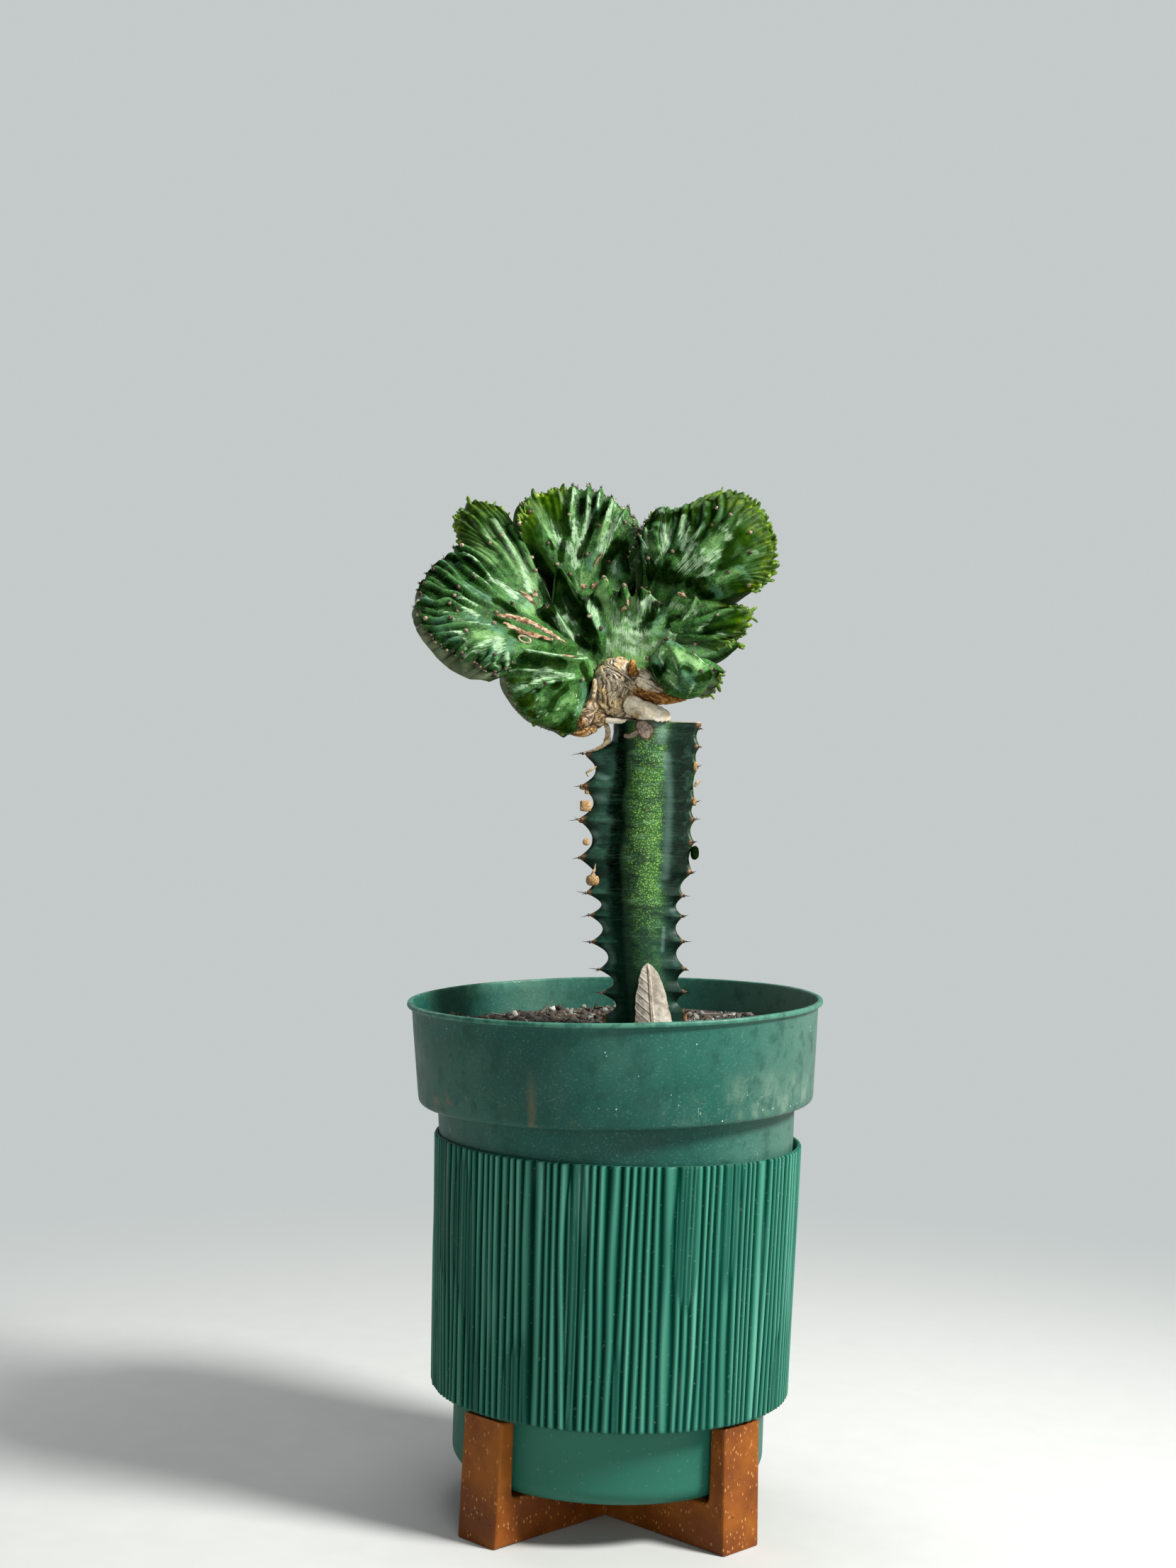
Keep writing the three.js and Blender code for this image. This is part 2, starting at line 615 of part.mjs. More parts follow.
function fan(f) {
  const hub = curve(f.hub);
  const rim = curve(f.rim);
  const columns = f.ribs * RIB_SAMPLES + 1;
  const rows = [...FAN_ROWS, 1];
  const shares = Array.from({ length: columns }, (_, i) => i / (columns - 1));
  const window = Math.round(EVEN_RIBS * RIB_SAMPLES);
  const middle = shares.map((u) => rows.map((v) => hub.getPoint(u).lerp(rim.getPoint(u), v)));
  const [swing, waves, phase] = f.ruffle;
  const first = fanNormals(middle, rows, window);
  shares.forEach((u, i) => rows.forEach((v, j) => {
    const lift = f.bow * 4 * v * (1 - v) + swing * v * v * Math.sin(2 * Math.PI * waves * u + phase);
    middle[i][j].addScaledVector(first[i][j], lift);
  }));
  const normals = fanNormals(middle, rows, window);
  const loops = shares.map((u, i) => {
    const fine = ribHeight(u * f.ribs);
    const broad = ribHeight((u * f.ribs) / 2);
    const inwards = THREE.MathUtils.smoothstep(Math.min(u, 1 - u), 0, SIDE.share);
    const edge = THREE.MathUtils.lerp(SIDE.thin, 1, inwards);
    const out = rim.getPoint(u).sub(hub.getPoint(u)).normalize();
    const front = [];
    const back = [];
    rows.forEach((v, j) => {
      const at = middle[i][j].clone();
      if (v === 1) {
        front.push(at.addScaledVector(out, f.tooth * (fine - 0.35)));
        return;
      }
      const mix = f.split ? THREE.MathUtils.smoothstep(v, f.split - RIB_BLEND, f.split + RIB_BLEND) : 1;
      const rib = THREE.MathUtils.lerp(broad, fine, mix) - 0.7;
      const closing = Math.sqrt(1 - (Math.max(v - ROUND_FROM, 0) / (1 - ROUND_FROM)) ** 2);
      const half = between([[0, f.thick[0]], [0.5, f.thick[1]], [1, f.thick[2]]], v) * closing;
      const relief = f.groove * THREE.MathUtils.clamp((v - 0.1) / 0.4, 0, 1) * rib;
      const belly = f.belly * Math.sin(Math.PI * v ** 1.5);
      front.push(at.clone().addScaledVector(normals[i][j], (half + relief) * edge));
      back.unshift(at.clone().addScaledVector(normals[i][j], -(half + belly + relief) * edge));
    });
    if (f.lap) {
      const [reach, end] = f.lap;
      const swollen = reach * (1 - THREE.MathUtils.smoothstep(u, 0, end)) * edge;
      const swell = rim.getPoint(u).addScaledVector(out, swollen + 0.5 * f.tooth * (fine - 0.5));
      back.unshift(swell.addScaledVector(normals[i][rows.length - 1], -f.thick[2] * LAP_DEPTH * edge));
    }
    return [...front, ...back].reverse().map((p) => p.toArray());
  });
  return fromLoops([centre(loops[0]), ...loops, centre(loops[loops.length - 1])]);
}

function crest() {
  const floor = STEM.cut + SEAT_GAP;
  const fans = FANS.map((f) => toSolid(fan(f)));
  const heart = HEART.map((ball) => toSolid(ellipsoid(ball.middle, ball.radii, 12, 7)));
  const lumps = FOOT_LUMPS.map((lump) => {
    const ball = ellipsoid(lump.middle, lump.radii);
    const place = ball.attributes.position;
    for (let i = 0; i < place.count; i++) place.setZ(i, Math.max(place.getZ(i), floor));
    return toSolid(ball);
  });
  return toGeometry(outerShell(wasm.Manifold.union([...fans, ...heart, ...lumps]).simplify(SLIVER)));
}

// Dried leaf: a thin, slightly cupped blade

function dryLeaf() {
  const l = LEAF;
  const across = [-1, -0.5, 0, 0.5, 1];
  const loops = [];
  for (let i = 0; i <= l.rows; i++) {
    const v = i / l.rows;
    const half = between(l.halfWidth, v);
    const x = THREE.MathUtils.lerp(l.middle[0], l.middle[1], v);
    const y = THREE.MathUtils.lerp(l.stand[0], l.stand[1], v);
    const z = THREE.MathUtils.lerp(l.foot, l.tip, v);
    const cup = (s) => l.cup * (half * s) ** 2;
    const front = across.map((s) => [x + half * s, y + cup(s), z]);
    const back = across.map((s) => [x + half * s, y + cup(s) + l.thickness, z]).reverse();
    loops.push([...front, ...back]);
  }
  const sides = fromLoops(loops);
  const triangles = Array.from(sides.index.array);
  const last = l.rows * loops[0].length;
  for (let k = 0; k + 1 < across.length; k++) {
    const behind = loops[0].length - 1 - k;
    triangles.push(k + 1, k, behind, k + 1, behind, behind - 1);
    triangles.push(last + k, last + k + 1, last + behind - 1, last + k, last + behind - 1, last + behind);
  }
  return indexed(Array.from(sides.attributes.position.array), triangles);
}

const plant = new THREE.Group();
const tilted = potFrame();
tilted.add(finish("nursery_pot", nurseryPot()));
plant.add(finish("stand", stand()));
plant.add(finish("cover_pot", coverPot()));
plant.add(tilted);
plant.add(finish("soil", soil(tilted.matrix)));
plant.add(finish("rootstock", rootstock()));
plant.add(finish("crest", crest()));
plant.add(finish("dry_leaf", toGeometry(toSolid(dryLeaf()))));

export default plant;
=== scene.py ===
"""A grafted coral cactus in its nursery pot, set in a ribbed cover pot on a cross-shaped stand.

Points are worked out in millimetres in the frame of the CAD model and become metres in the meshes. +Z is up
and -Y is the front.
"""
import math
import bmesh
import bpy
import numpy as np
from mathutils import Matrix
from types import SimpleNamespace as Named


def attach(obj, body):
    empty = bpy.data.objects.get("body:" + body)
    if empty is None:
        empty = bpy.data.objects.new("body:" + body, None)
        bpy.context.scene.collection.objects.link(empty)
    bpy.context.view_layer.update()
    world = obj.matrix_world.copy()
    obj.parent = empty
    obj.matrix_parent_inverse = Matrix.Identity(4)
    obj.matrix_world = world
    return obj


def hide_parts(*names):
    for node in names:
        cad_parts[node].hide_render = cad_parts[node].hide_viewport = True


MM = 0.001
CRUMB_SEED, SPINE_SEED, TOOTH_SEED = 5, 23, 41

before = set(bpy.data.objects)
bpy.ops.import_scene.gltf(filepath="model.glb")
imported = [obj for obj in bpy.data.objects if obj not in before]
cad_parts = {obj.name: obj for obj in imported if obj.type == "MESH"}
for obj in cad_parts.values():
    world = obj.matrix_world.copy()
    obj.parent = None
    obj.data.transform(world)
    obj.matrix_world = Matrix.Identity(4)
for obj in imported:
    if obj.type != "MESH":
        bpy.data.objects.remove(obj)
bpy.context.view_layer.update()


# Numbers in arrays

def smooth(x):
    """3x^2 - 2x^3 of x held between 0 and 1."""
    x = np.clip(x, 0.0, 1.0)
    return x * x * (3 - 2 * x)


def step(x, low, high):
    """0 up to low, 1 from high, and the smooth curve between them."""
    return smooth((np.asarray(x, float) - low) / (high - low))


def noise(points, size, seed):
    """Smooth noise from -1 to 1: a drawn value on each corner of a cubic grid of cells of the given size,
    blended along each axis by 3t^2 - 2t^3."""
    q = np.asarray(points, float) / size
    cell = np.floor(q).astype(np.int64)
    t = smooth(q - cell)
    total = np.zeros(q.shape[:-1])
    for corner in np.ndindex(2, 2, 2):
        n = cell + np.array(corner)
        h = (n[..., 0] * 73856093) ^ (n[..., 1] * 19349663) ^ (n[..., 2] * 83492791) ^ (seed * 99991 + 7)
        h = ((h ^ (h >> 13)) * 1274126177) & 0xFFFFFFFF
        h = ((h ^ (h >> 15)) * 668265263) & 0xFFFFFFFF
        value = ((h >> 8) & 0xFFFF) / 32767.5 - 1.0
        weight = np.prod(np.where(np.array(corner) == 1, t, 1 - t), axis=-1)
        total += value * weight
    return total


def fractal(points, size, seed):
    """A sum of three noises, each at half the size and half the strength of the one before."""
    return sum(noise(points, size / 2 ** k, seed + k) / 2 ** k for k in range(3))


def spline(points, t):
    """A uniform Catmull-Rom curve through the points for t from 0 to 1, with its ends reflected."""
    p = np.asarray(points, float)
    e = np.vstack([2 * p[0] - p[1], p, 2 * p[-1] - p[-2]])
    s = np.clip(np.asarray(t, float) * (len(p) - 1), 0, len(p) - 1 - 1e-9)
    i = s.astype(int)
    f = (s - i)[..., None]
    a, b, c, d = e[i], e[i + 1], e[i + 2], e[i + 3]
    return 0.5 * (2 * b + (c - a) * f + (2 * a - 5 * b + 4 * c - d) * f ** 2 + (3 * b - a - 3 * c + d)
            * f ** 3)


def table(rows, at):
    """Straight-line reading of rows of (place, value)."""
    places, values = zip(*rows)
    return np.interp(at, places, values)


def unit(vectors):
    return vectors / np.maximum(np.linalg.norm(vectors, axis=-1, keepdims=True), 1e-9)


# Meshes from arrays

def ring_quads(loops, around):
    """Quads between successive closed loops of points."""
    index = np.arange(loops * around).reshape(loops, around)
    low, high = index[:-1], index[1:]
    return np.stack([low, np.roll(low, -1, 1), np.roll(high, -1, 1), high], -1).reshape(-1, 4)


def closed(rings, below, above):
    """Points and faces of a stack of rings, closed by a pole at each end."""
    loops, around = rings.shape[:2]
    count = loops * around
    j = np.arange(around)
    k = np.roll(j, -1)
    poles = np.vstack([np.stack([k, j, count + 0 * j], -1), np.stack([j, k, around + 1 + 0 * j], -1) + count
            - around])
    return np.vstack([rings.reshape(-1, 3), below, above]), [ring_quads(loops, around), poles]


def turns(count):
    """Evenly spaced turns in radians."""
    return np.arange(count) * 2 * np.pi / count


def turned(radius, turn, height):
    """Points at a distance and a turn from the Z axis and at a height."""
    return np.stack(np.broadcast_arrays(radius * np.cos(turn), radius * np.sin(turn), height), -1)


def make(name, points, faces, material, slot, **fields):
    """A piece from points in millimetres and arrays of faces, with a value for each point in each field."""
    mesh = bpy.data.meshes.new(name)
    mesh.vertices.add(points.size // 3)
    mesh.vertices.foreach_set("co", (points * MM).astype(np.float32).ravel())
    corners = np.concatenate([f.ravel() for f in faces]).astype(np.int32)
    totals = np.concatenate([np.full(len(f), f.shape[1]) for f in faces])
    mesh.loops.add(len(corners))
    mesh.loops.foreach_set("vertex_index", corners)
    mesh.polygons.add(len(totals))
    mesh.polygons.foreach_set("loop_start", np.concatenate([[0], np.cumsum(totals)[:-1]]).astype(np.int32))
    mesh.polygons.foreach_set("use_smooth", np.ones(len(totals), bool))
    for key, values in fields.items():
        field = mesh.attributes.new(key, "FLOAT", "POINT")
        field.data.foreach_set("value", np.broadcast_to(values, points.shape[:-1]).astype(np.float32).ravel())
    mesh.update(calc_edges=True)
    mesh.validate()
    mesh.materials.append(material)
    piece = link(name, mesh)
    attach(piece, "root")
    return piece


def join(parts):
    """Points, faces and fields of several shapes as one. A shape is (points, faces, fields)."""
    points, faces, fields = [], {}, {}
    start = 0
    for p, own_faces, own_fields in parts:
        points.append(p)
        for f in own_faces:
            faces.setdefault(f.shape[1], []).append(f + start)
        for key, values in own_fields.items():
            fields.setdefault(key, []).append(np.broadcast_to(values, len(p)))
        start += len(p)
    return (np.vstack(points), [np.vstack(f) for f in faces.values()],
            {key: np.concatenate(values) for key, values in fields.items()})


def make_joined(name, parts, material, slot):
    """One piece of several shapes."""
    points, faces, fields = join(parts)
    make(name, points, faces, material, slot, **fields)


def ball(around, rows):
    """Points and faces of a unit ball."""
    tilt = np.linspace(0, np.pi, rows + 1)[1:-1, None]
    return closed(turned(np.sin(tilt), turns(around), -np.cos(tilt)), [0, 0, -1], [0, 0, 1])


def tube(path, radii, around=8, squash=1.0):
    """A closed tube along a path: rings of the given radii square to it, with a pole at each end."""
    path = np.asarray(path, float)
    along = unit(np.gradient(path, axis=0))
    side = unit(np.cross(along, [0.31, 0.17, 0.93]))
    other = np.cross(along, side)
    turn = turns(around)[:, None]
    ring = side[:, None] * np.cos(turn) + squash * other[:, None] * np.sin(turn)
    return closed(path[:, None] + ring * np.asarray(radii, float)[:, None, None], path[0], path[-1])


def rounded(corners, radii):
    """A profile whose corners are cut back by up to their radii and bridged by quadratic curves."""
    corners = np.asarray(corners, float)
    out = [corners[0]]
    for before, here, after, radius in zip(corners, corners[1:], corners[2:], radii[1:]):
        arms = [before - here, after - here]
        longest = [np.linalg.norm(arm) for arm in arms]
        cut = min(radius, 0.45 * min(longest))
        a, b = (here + arm / size * cut for arm, size in zip(arms, longest))
        out += [(1 - t) ** 2 * a + 2 * t * (1 - t) * here + t ** 2 * b for t in np.linspace(0, 1, 6)]
    out.append(corners[-1])
    return np.array(out)


def refine(profile, most):
    """The profile with long stretches split so that no part is longer than `most`."""
    out = [profile[0]]
    for a, b in zip(profile[:-1], profile[1:]):
        n = max(1, int(math.ceil(np.linalg.norm(b - a) / most)))
        out += [a + (b - a) * k / n for k in range(1, n + 1)]
    return np.array(out)


# Node materials

class Wire:
    """An output of a node. * and + and the calls below lead it into a new node and give that node's
    output."""

    def __init__(self, look, socket):
        self.look, self.socket = look, socket

    def math(self, operation, other=0.0):
        return self.look.add("Math", {0: self, 1: other}, operation=operation)

    def __mul__(self, other):
        return self.math("MULTIPLY", other)

    def __add__(self, other):
        return self.math("ADD", other)

    def __sub__(self, number):
        return self.math("ADD", -number)

    def __abs__(self):
        return self.math("ABSOLUTE")

    def max(self, other):
        return self.math("MAXIMUM", other)

    def window(self, low, high, to_low=0.0, to_high=1.0):
        """A smooth step from to_low at `low` to to_high at `high`."""
        return self.look.add("MapRange", {"Value": self, "From Min": low, "From Max": high, "To Min": to_low,
                "To Max": to_high}, interpolation_type="SMOOTHSTEP")

    def ramp(self, *stops):
        """The colour blended between stops of (place, colour)."""
        wire = self.look.add("ValToRGB", {"Fac": self})
        elements = wire.socket.node.color_ramp.elements
        while len(elements) < len(stops):
            elements.new(0.5)
        for element, (at, colour) in zip(elements, stops):
            element.position = at
            element.color = (*colour, 1.0)
        return wire

    def bump(self, distance, strength):
        return self.look.add("Bump", {"Height": self, "Distance": distance, "Strength": strength})


class Look:
    """A material whose base colour is painted in coats. A value is a number, a colour or a wire."""

    def __init__(self, name):
        self.material = bpy.data.materials.new(name)
        self.material.use_nodes = True
        tree = self.material.node_tree
        self.nodes, self.links = tree.nodes, tree.links
        self.nodes.clear()
        self.shader = self.nodes.new("ShaderNodeBsdfPrincipled")
        self.end = self.nodes.new("ShaderNodeOutputMaterial")
        self.set(self.end, "Surface", Wire(self, self.shader.outputs[0]))
        self.place = self.add("TexCoord", output="Object")
        self.base = None

    def set(self, node, key, value):
        socket = node.inputs[key]
        if isinstance(value, Wire):
            self.links.new(value.socket, socket)
        else:
            socket.default_value = (*value, 1.0) if socket.type == "RGBA" else value

    def add(self, kind, inputs=(), output=0, **settings):
        node = self.nodes.new("ShaderNode" + kind)
        for key, value in settings.items():
            setattr(node, key, value)
        for key, value in dict(inputs).items():
            self.set(node, key, value)
        return Wire(self, node.outputs[output])

    def field(self, name):
        return self.add("Attribute", output="Fac", attribute_name=name)

    def fields(self, *names):
        return [self.field(name) for name in names]

    def vector(self, x, y, z):
        return self.add("CombineXYZ", {"X": x, "Y": y, "Z": z})

    def scaled(self, vector, factors):
        return self.add("VectorMath", {0: vector, 1: factors}, operation="MULTIPLY")

    def noise(self, scale, detail=3.0, rough=0.55, warp=0.0, over=None):
        """Noise over the object's coordinates or another vector, with one scale or one for each axis."""
        vector = over or self.place
        if isinstance(scale, tuple):
            vector, scale = self.scaled(vector, scale), 1.0
        return self.add("TexNoise", {"Vector": vector, "Scale": scale, "Detail": detail, "Roughness": rough,
                "Distortion": warp}, "Fac")

    def cells(self, scale, feature="F1", over=None):
        return self.add("TexVoronoi", {"Vector": over or self.place, "Scale": scale}, "Distance",
                feature=feature)

    def mix(self, share, a, b):
        return self.add("Mix", {0: share, 6: a, 7: b}, 2, data_type="RGBA")

    def paint(self, share, colour):
        self.base = self.mix(share, self.base, colour)

    def surface(self, **values):
        """Sets the shader's sockets and gives the material."""
        for key, value in {"Base_Color": self.base, **values}.items():
            self.set(self.shader, key.replace("_", " "), value)
        return self.material


# Camera, floor and light

EYE = np.array([-32.1, -886.2, 290.2])
LENS = 3046.0  # focal length in pixels of the 1659 x 2212 image
WIDE, HIGH = 1659.0, 2212.0
PIXEL = 0.291  # millimetres that a pixel spans at the plant


def view_axes():
    """Right, up and ahead of the photograph's camera, from its yaw, pitch and roll."""
    yaw, pitch, roll = np.radians([0.97, -0.28, 1.96])
    ahead = np.array([math.sin(yaw) * math.cos(pitch), math.cos(yaw) * math.cos(pitch), -math.sin(pitch)])
    right = np.array([math.cos(yaw), -math.sin(yaw), 0.0])
    up = np.cross(right, ahead)
    return (right * math.cos(roll) + up * math.sin(roll), -right * math.sin(roll) + up * math.cos(roll),
            ahead)


RIGHT, UP, AHEAD = view_axes()


def sight(x, y):
    """The direction from the eye through a pixel."""
    return AHEAD + RIGHT * (x - WIDE / 2) / LENS - UP * (y - HIGH / 2) / LENS


def at_pixel(x, y, depth):
    """The point behind a pixel at the given Y."""
    ray = sight(x, y)
    return EYE + ray * (depth - EYE[1]) / ray[1]


def seen_at(surface, x, y):
    """Index of the point of a surface that lies nearest to the line of sight through a pixel."""
    ray = unit(sight(x, y))
    away = surface.reshape(-1, 3) - EYE
    along = away @ ray
    miss = np.linalg.norm(away - along[:, None] * ray, axis=1)
    return int(np.argmin(miss + 0.03 * along))


def link(name, data, right=None, up=None, back=None, place=None):
    """A new object of the scene, turned to the three axes and put at the place in metres if they are
    given."""
    thing = bpy.data.objects.new(name, data)
    bpy.context.scene.collection.objects.link(thing)
    if place is not None:
        thing.matrix_world = Matrix(np.vstack([np.stack([right, up, back, place], -1),
                [0, 0, 0, 1]]).tolist())
    return thing


def camera():
    data = bpy.data.cameras.new("camera")
    data.sensor_fit = "VERTICAL"
    data.sensor_height = 36.0
    data.lens = LENS / HIGH * data.sensor_height
    data.clip_start, data.clip_end = 0.01, 50.0
    bpy.context.scene.camera = link("camera", data, RIGHT, UP, -AHEAD, EYE * MM)


def lamp(name, place, aim, size, power, colour):
    """A round area lamp that points at the height `aim` on the object's axis, in metres."""
    data = bpy.data.lights.new(name, "AREA")
    data.shape, data.size, data.energy, data.color = "DISK", size, power, colour
    back = unit(np.array(place) - [0, 0, aim])
    right = unit(np.cross([0, 0, 1.0], back))
    link(name, data, right, np.cross(back, right), back, place)


WALL = (0.552, 0.592, 0.585)
AMBIENT = (0.93, 0.98, 0.98)


def stage():
    """A pale floor that fades into the grey of the backdrop, under soft lamps."""
    world = bpy.data.worlds.new("world")
    bpy.context.scene.world = world
    bpy.context.scene.view_settings.view_transform = "Standard"
    world.use_nodes = True
    nodes, links = world.node_tree.nodes, world.node_tree.links
    seen, share = nodes.new("ShaderNodeLightPath"), nodes.new("ShaderNodeMixShader")
    links.new(seen.outputs["Is Camera Ray"], share.inputs[0])
    for socket, (colour, strength) in enumerate(((AMBIENT, 0.13), (WALL, 1.0)), 1):
        sky = nodes.new("ShaderNodeBackground")
        sky.inputs["Color"].default_value = (*colour, 1.0)
        sky.inputs["Strength"].default_value = strength
        links.new(sky.outputs[0], share.inputs[socket])
    links.new(share.outputs[0], nodes["World Output"].inputs["Surface"])
    look = Look("floor")
    look.base = look.mix(look.noise(60, 4), (0.50, 0.51, 0.50), (0.55, 0.56, 0.55))
    look.surface(Roughness=0.85)
    far = look.add("VectorMath", {0: look.place}, "Value", operation="LENGTH").window(0.16, 0.75)
    glow = look.add("Emission", {"Color": WALL, "Strength": 1.0})
    look.set(look.end, "Surface", look.add("MixShader", {0: far, 1: Wire(look, look.shader.outputs[0]),
            2: glow}))
    mesh = bpy.data.meshes.new("floor")
    half, z = 6.0, -0.0002  # metres
    mesh.from_pydata([(-half, -half, z), (half, -half, z), (half, half, z), (-half, half, z)], [],
            [(0, 1, 2, 3)])
    mesh.materials.append(look.material)
    link("floor", mesh)
    lamp("key", (1.22, -0.66, 1.34), 0.25, 0.45, 68.0, (1.0, 0.985, 0.955))
    lamp("fill", (0.35, -1.7, 0.55), 0.28, 1.0, 8.5, (1.0, 0.99, 0.97))
    lamp("top", (-0.1, 0.15, 1.45), 0.3, 0.6, 6.0, (1.0, 1.0, 1.0))
    lamp("rim", (-0.9, 1.0, 0.8), 0.3, 0.8, 4.0, (0.95, 0.98, 1.0))


# Stand

def stand_look():
    """Brown wood-filled plastic: darker mottling, pale specks drawn out a little upright like short fibres,
    dark specks and a fine bump."""
    look = Look("stand_plastic")
    broad = look.noise(28, 4, 0.6)
    look.base = broad.ramp((0.3, (0.066, 0.014, 0.001)), (0.52, (0.155, 0.04, 0.003)),
            (0.72, (0.285, 0.088, 0.008)))
    specks = look.cells(640, over=look.scaled(look.place, (1, 1, 0.55)))
    sparse = look.noise(190, 2)
    speck = specks.window(0.3, 0.16) * sparse.window(0.42, 0.56)
    look.paint(speck * 0.75, (0.5, 0.24, 0.08))
    dark = look.cells(340).window(0.25, 0.1) * look.noise(120, 2).window(0.55, 0.62)
    look.paint(dark * 0.7, (0.03, 0.012, 0.006))
    fine = look.noise(900, 3)
    normal = fine.bump(0.0002, 0.5)
    rough = broad.window(0.2, 0.8, 0.42, 0.6)
    return look.surface(Roughness=rough, Specular_IOR_Level=0.2, Normal=normal)


# Cover pot

COVER = Named(base=18.3, drum=63.4, corner=7.0, wall=2.0, step=49.4, ledge=51.5, top=150.9, foot_tip=73.1,
             top_tip=75.2, ridges=128, depth=1.35, skin=1.9)


def cover_look():
    """Satin teal plastic with painted light and shade: pale teal painted as highlight where the ridges stand
    out and near-black green painted as shade between them, with fine dust and faint long drips."""
    look = Look("cover_pot_plastic")
    ridge = look.field("ridge")
    soft = look.noise(9, 3)
    # the ridge field paints shade and light: near-black green in the grooves, and a pale teal painted
    # highlight on the ridge tops
    look.base = ridge.ramp((0, (0.0003, 0.014, 0.008)), (0.35, (0.001, 0.036, 0.022)),
            (0.6, (0.008, 0.085, 0.055)), (0.82, (0.032, 0.185, 0.125)), (1, (0.11, 0.34, 0.25)))
    look.paint(soft.window(0.3, 0.7, 0, 0.3), (0.005, 0.07, 0.052))
    streak = look.noise((70, 70, 9), 3)
    look.paint(streak.window(0.58, 0.72) * 0.18, (0.16, 0.38, 0.31))
    dust = look.noise(700, 2).window(0.66, 0.74)
    look.paint(dust * 0.1, (0.5, 0.6, 0.55))
    normal = look.noise(420, 3).bump(0.0001, 0.25)
    return look.surface(Roughness=streak.window(0.3, 0.7, 0.42, 0.56), Normal=normal,
            Specular_IOR_Level=ridge.window(0.25, 0.75, 0, 0.22))


def cover_pot():
    """Rings round a profile of drum, step and sleeve. On the sleeve the radius is tip - depth * (1 - r). Here
    r is the higher of |cos(n a / 2 + pi w)|^0.95 and, in places, a finer 0.8 |cos(n a + ...)|^1.2, with w a
    slow noise of turn and height, so that ridges drift, narrow and run into each other."""
    c = COVER
    outer_corner, inner_corner = ([(c.drum - inset - r * (1 - math.sin(t)),
            c.base + inset + r * (1 - math.cos(t))) for t in bends] for inset, r,
            bends in ((0.0, c.corner, np.linspace(0, np.pi / 2, 9)), (c.wall, c.corner - c.wall,
            np.linspace(np.pi / 2, 0, 7))))
    outer = np.vstack([[0.01, c.base], outer_corner, [c.drum, c.step - 0.2], [c.drum + 0.2, c.step],
            [c.foot_tip - c.skin, c.step]])
    low, high = c.step + 0.25, c.top - 0.15
    heights = np.concatenate([[low, low + 0.35, low + 0.8], np.linspace(low + 1.6, high - 1.4, 42),
            [high - 0.7, high - 0.3, high]])
    sleeve = np.stack([np.interp(heights, [c.step, c.top], [c.foot_tip, c.top_tip]), heights], -1)
    lip_and_inner = [[c.top_tip - 0.75, c.top], [c.top_tip - c.skin + 0.25, c.top],
            [c.top_tip - c.skin, c.top - 0.3], [c.foot_tip - c.skin + 0.1, c.ledge],
            [c.drum - c.wall, c.ledge], *inner_corner, [0.01, c.base + c.wall]]
    profile = np.vstack([outer, sleeve, lip_and_inner])
    on_sleeve = np.zeros((len(profile), 1), bool)
    on_sleeve[len(outer):len(outer) + len(sleeve)] = True
    a, z = turns(c.ridges * 8), profile[:, 1:]
    circle = turned(100, a, z)
    drift = 0.60 * noise(circle * [1, 1, 0.07], 10.0, 3) + 0.13 * noise(circle * [1, 1, 0.12], 4.6, 4)
    first = np.abs(np.cos(a * c.ridges / 2 + np.pi * drift)) ** 0.95
    other = np.abs(np.cos(a * c.ridges + 1.3 + np.pi * 0.5 * noise(circle * [1, 1, 0.12], 12.0, 8))) ** 1.2
    where = step(noise(circle * [1, 1, 0.20], 12.0, 12), 0.22, 0.45)
    height = np.maximum(first * (1 - 0.30 * where), 0.8 * other * where)
    height = np.clip(height * (0.88 + 0.14 * noise(circle * [1, 1, 0.06], 4.0, 21)), 0, 1)
    ends = step(z, low - 0.1, low + 1.2) * (0.35 + 0.65 * step(z, high + 0.1, high - 0.6))
    bite = c.depth * (1 - height) + 0.25 * (1 - step(z, low - 0.1, low + 0.9)) + 0.35 * step(z, high - 0.5,
            high + 0.1)
    rings = turned(profile[:, :1] - bite * on_sleeve, a, z)
    # ridge carries the painted shade of the grooves and the painted highlight of the ridge tops
    piece = make("cover_pot_body", rings, [ring_quads(*rings.shape[:2])], cover_look(), "cover_pot_plastic",
            ridge=np.where(on_sleeve, height * ends + 0.55 * (1 - ends), 0.69))
    close_poles(piece)
    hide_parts("cover_pot")


def close_poles(piece):
    """Fills the two small rings at the ends of a turned piece."""
    mesh = piece.data
    work = bmesh.new()
    work.from_mesh(mesh)
    open_edges = [e for e in work.edges if e.is_boundary]
    bmesh.ops.holes_fill(work, edges=open_edges)
    work.to_mesh(mesh)
    work.free()


# Nursery pot

POT = Named(rim=(-3.0, -1.0, 207.3), lean_left=2.44, lean_front=1.0, lip=85.0, lip_inner=82.7, lip_height=1.9,
           collar_top=83.0, collar_foot=80.5, collar=41.0, neck=73.0, shoulder=72.3, shoulder_depth=57.5,
           foot=64.0, height=152.6, wall=1.4)


def tilt():
    """The nursery pot's lean as a rotation, first towards the left and then towards the front."""
    left, front = np.radians([-POT.lean_left, POT.lean_front])
    ry = np.array([[math.cos(left), 0, math.sin(left)], [0, 1, 0], [-math.sin(left), 0, math.cos(left)]])
    rx = np.array([[1, 0, 0], [0, math.cos(front), -math.sin(front)], [0, math.sin(front), math.cos(front)]])
    return rx @ ry


TILT = tilt()


def leaned(points):
    """Points of the pot's own frame, whose origin is the middle of the rim, in the object's frame."""
    return points @ TILT.T + POT.rim


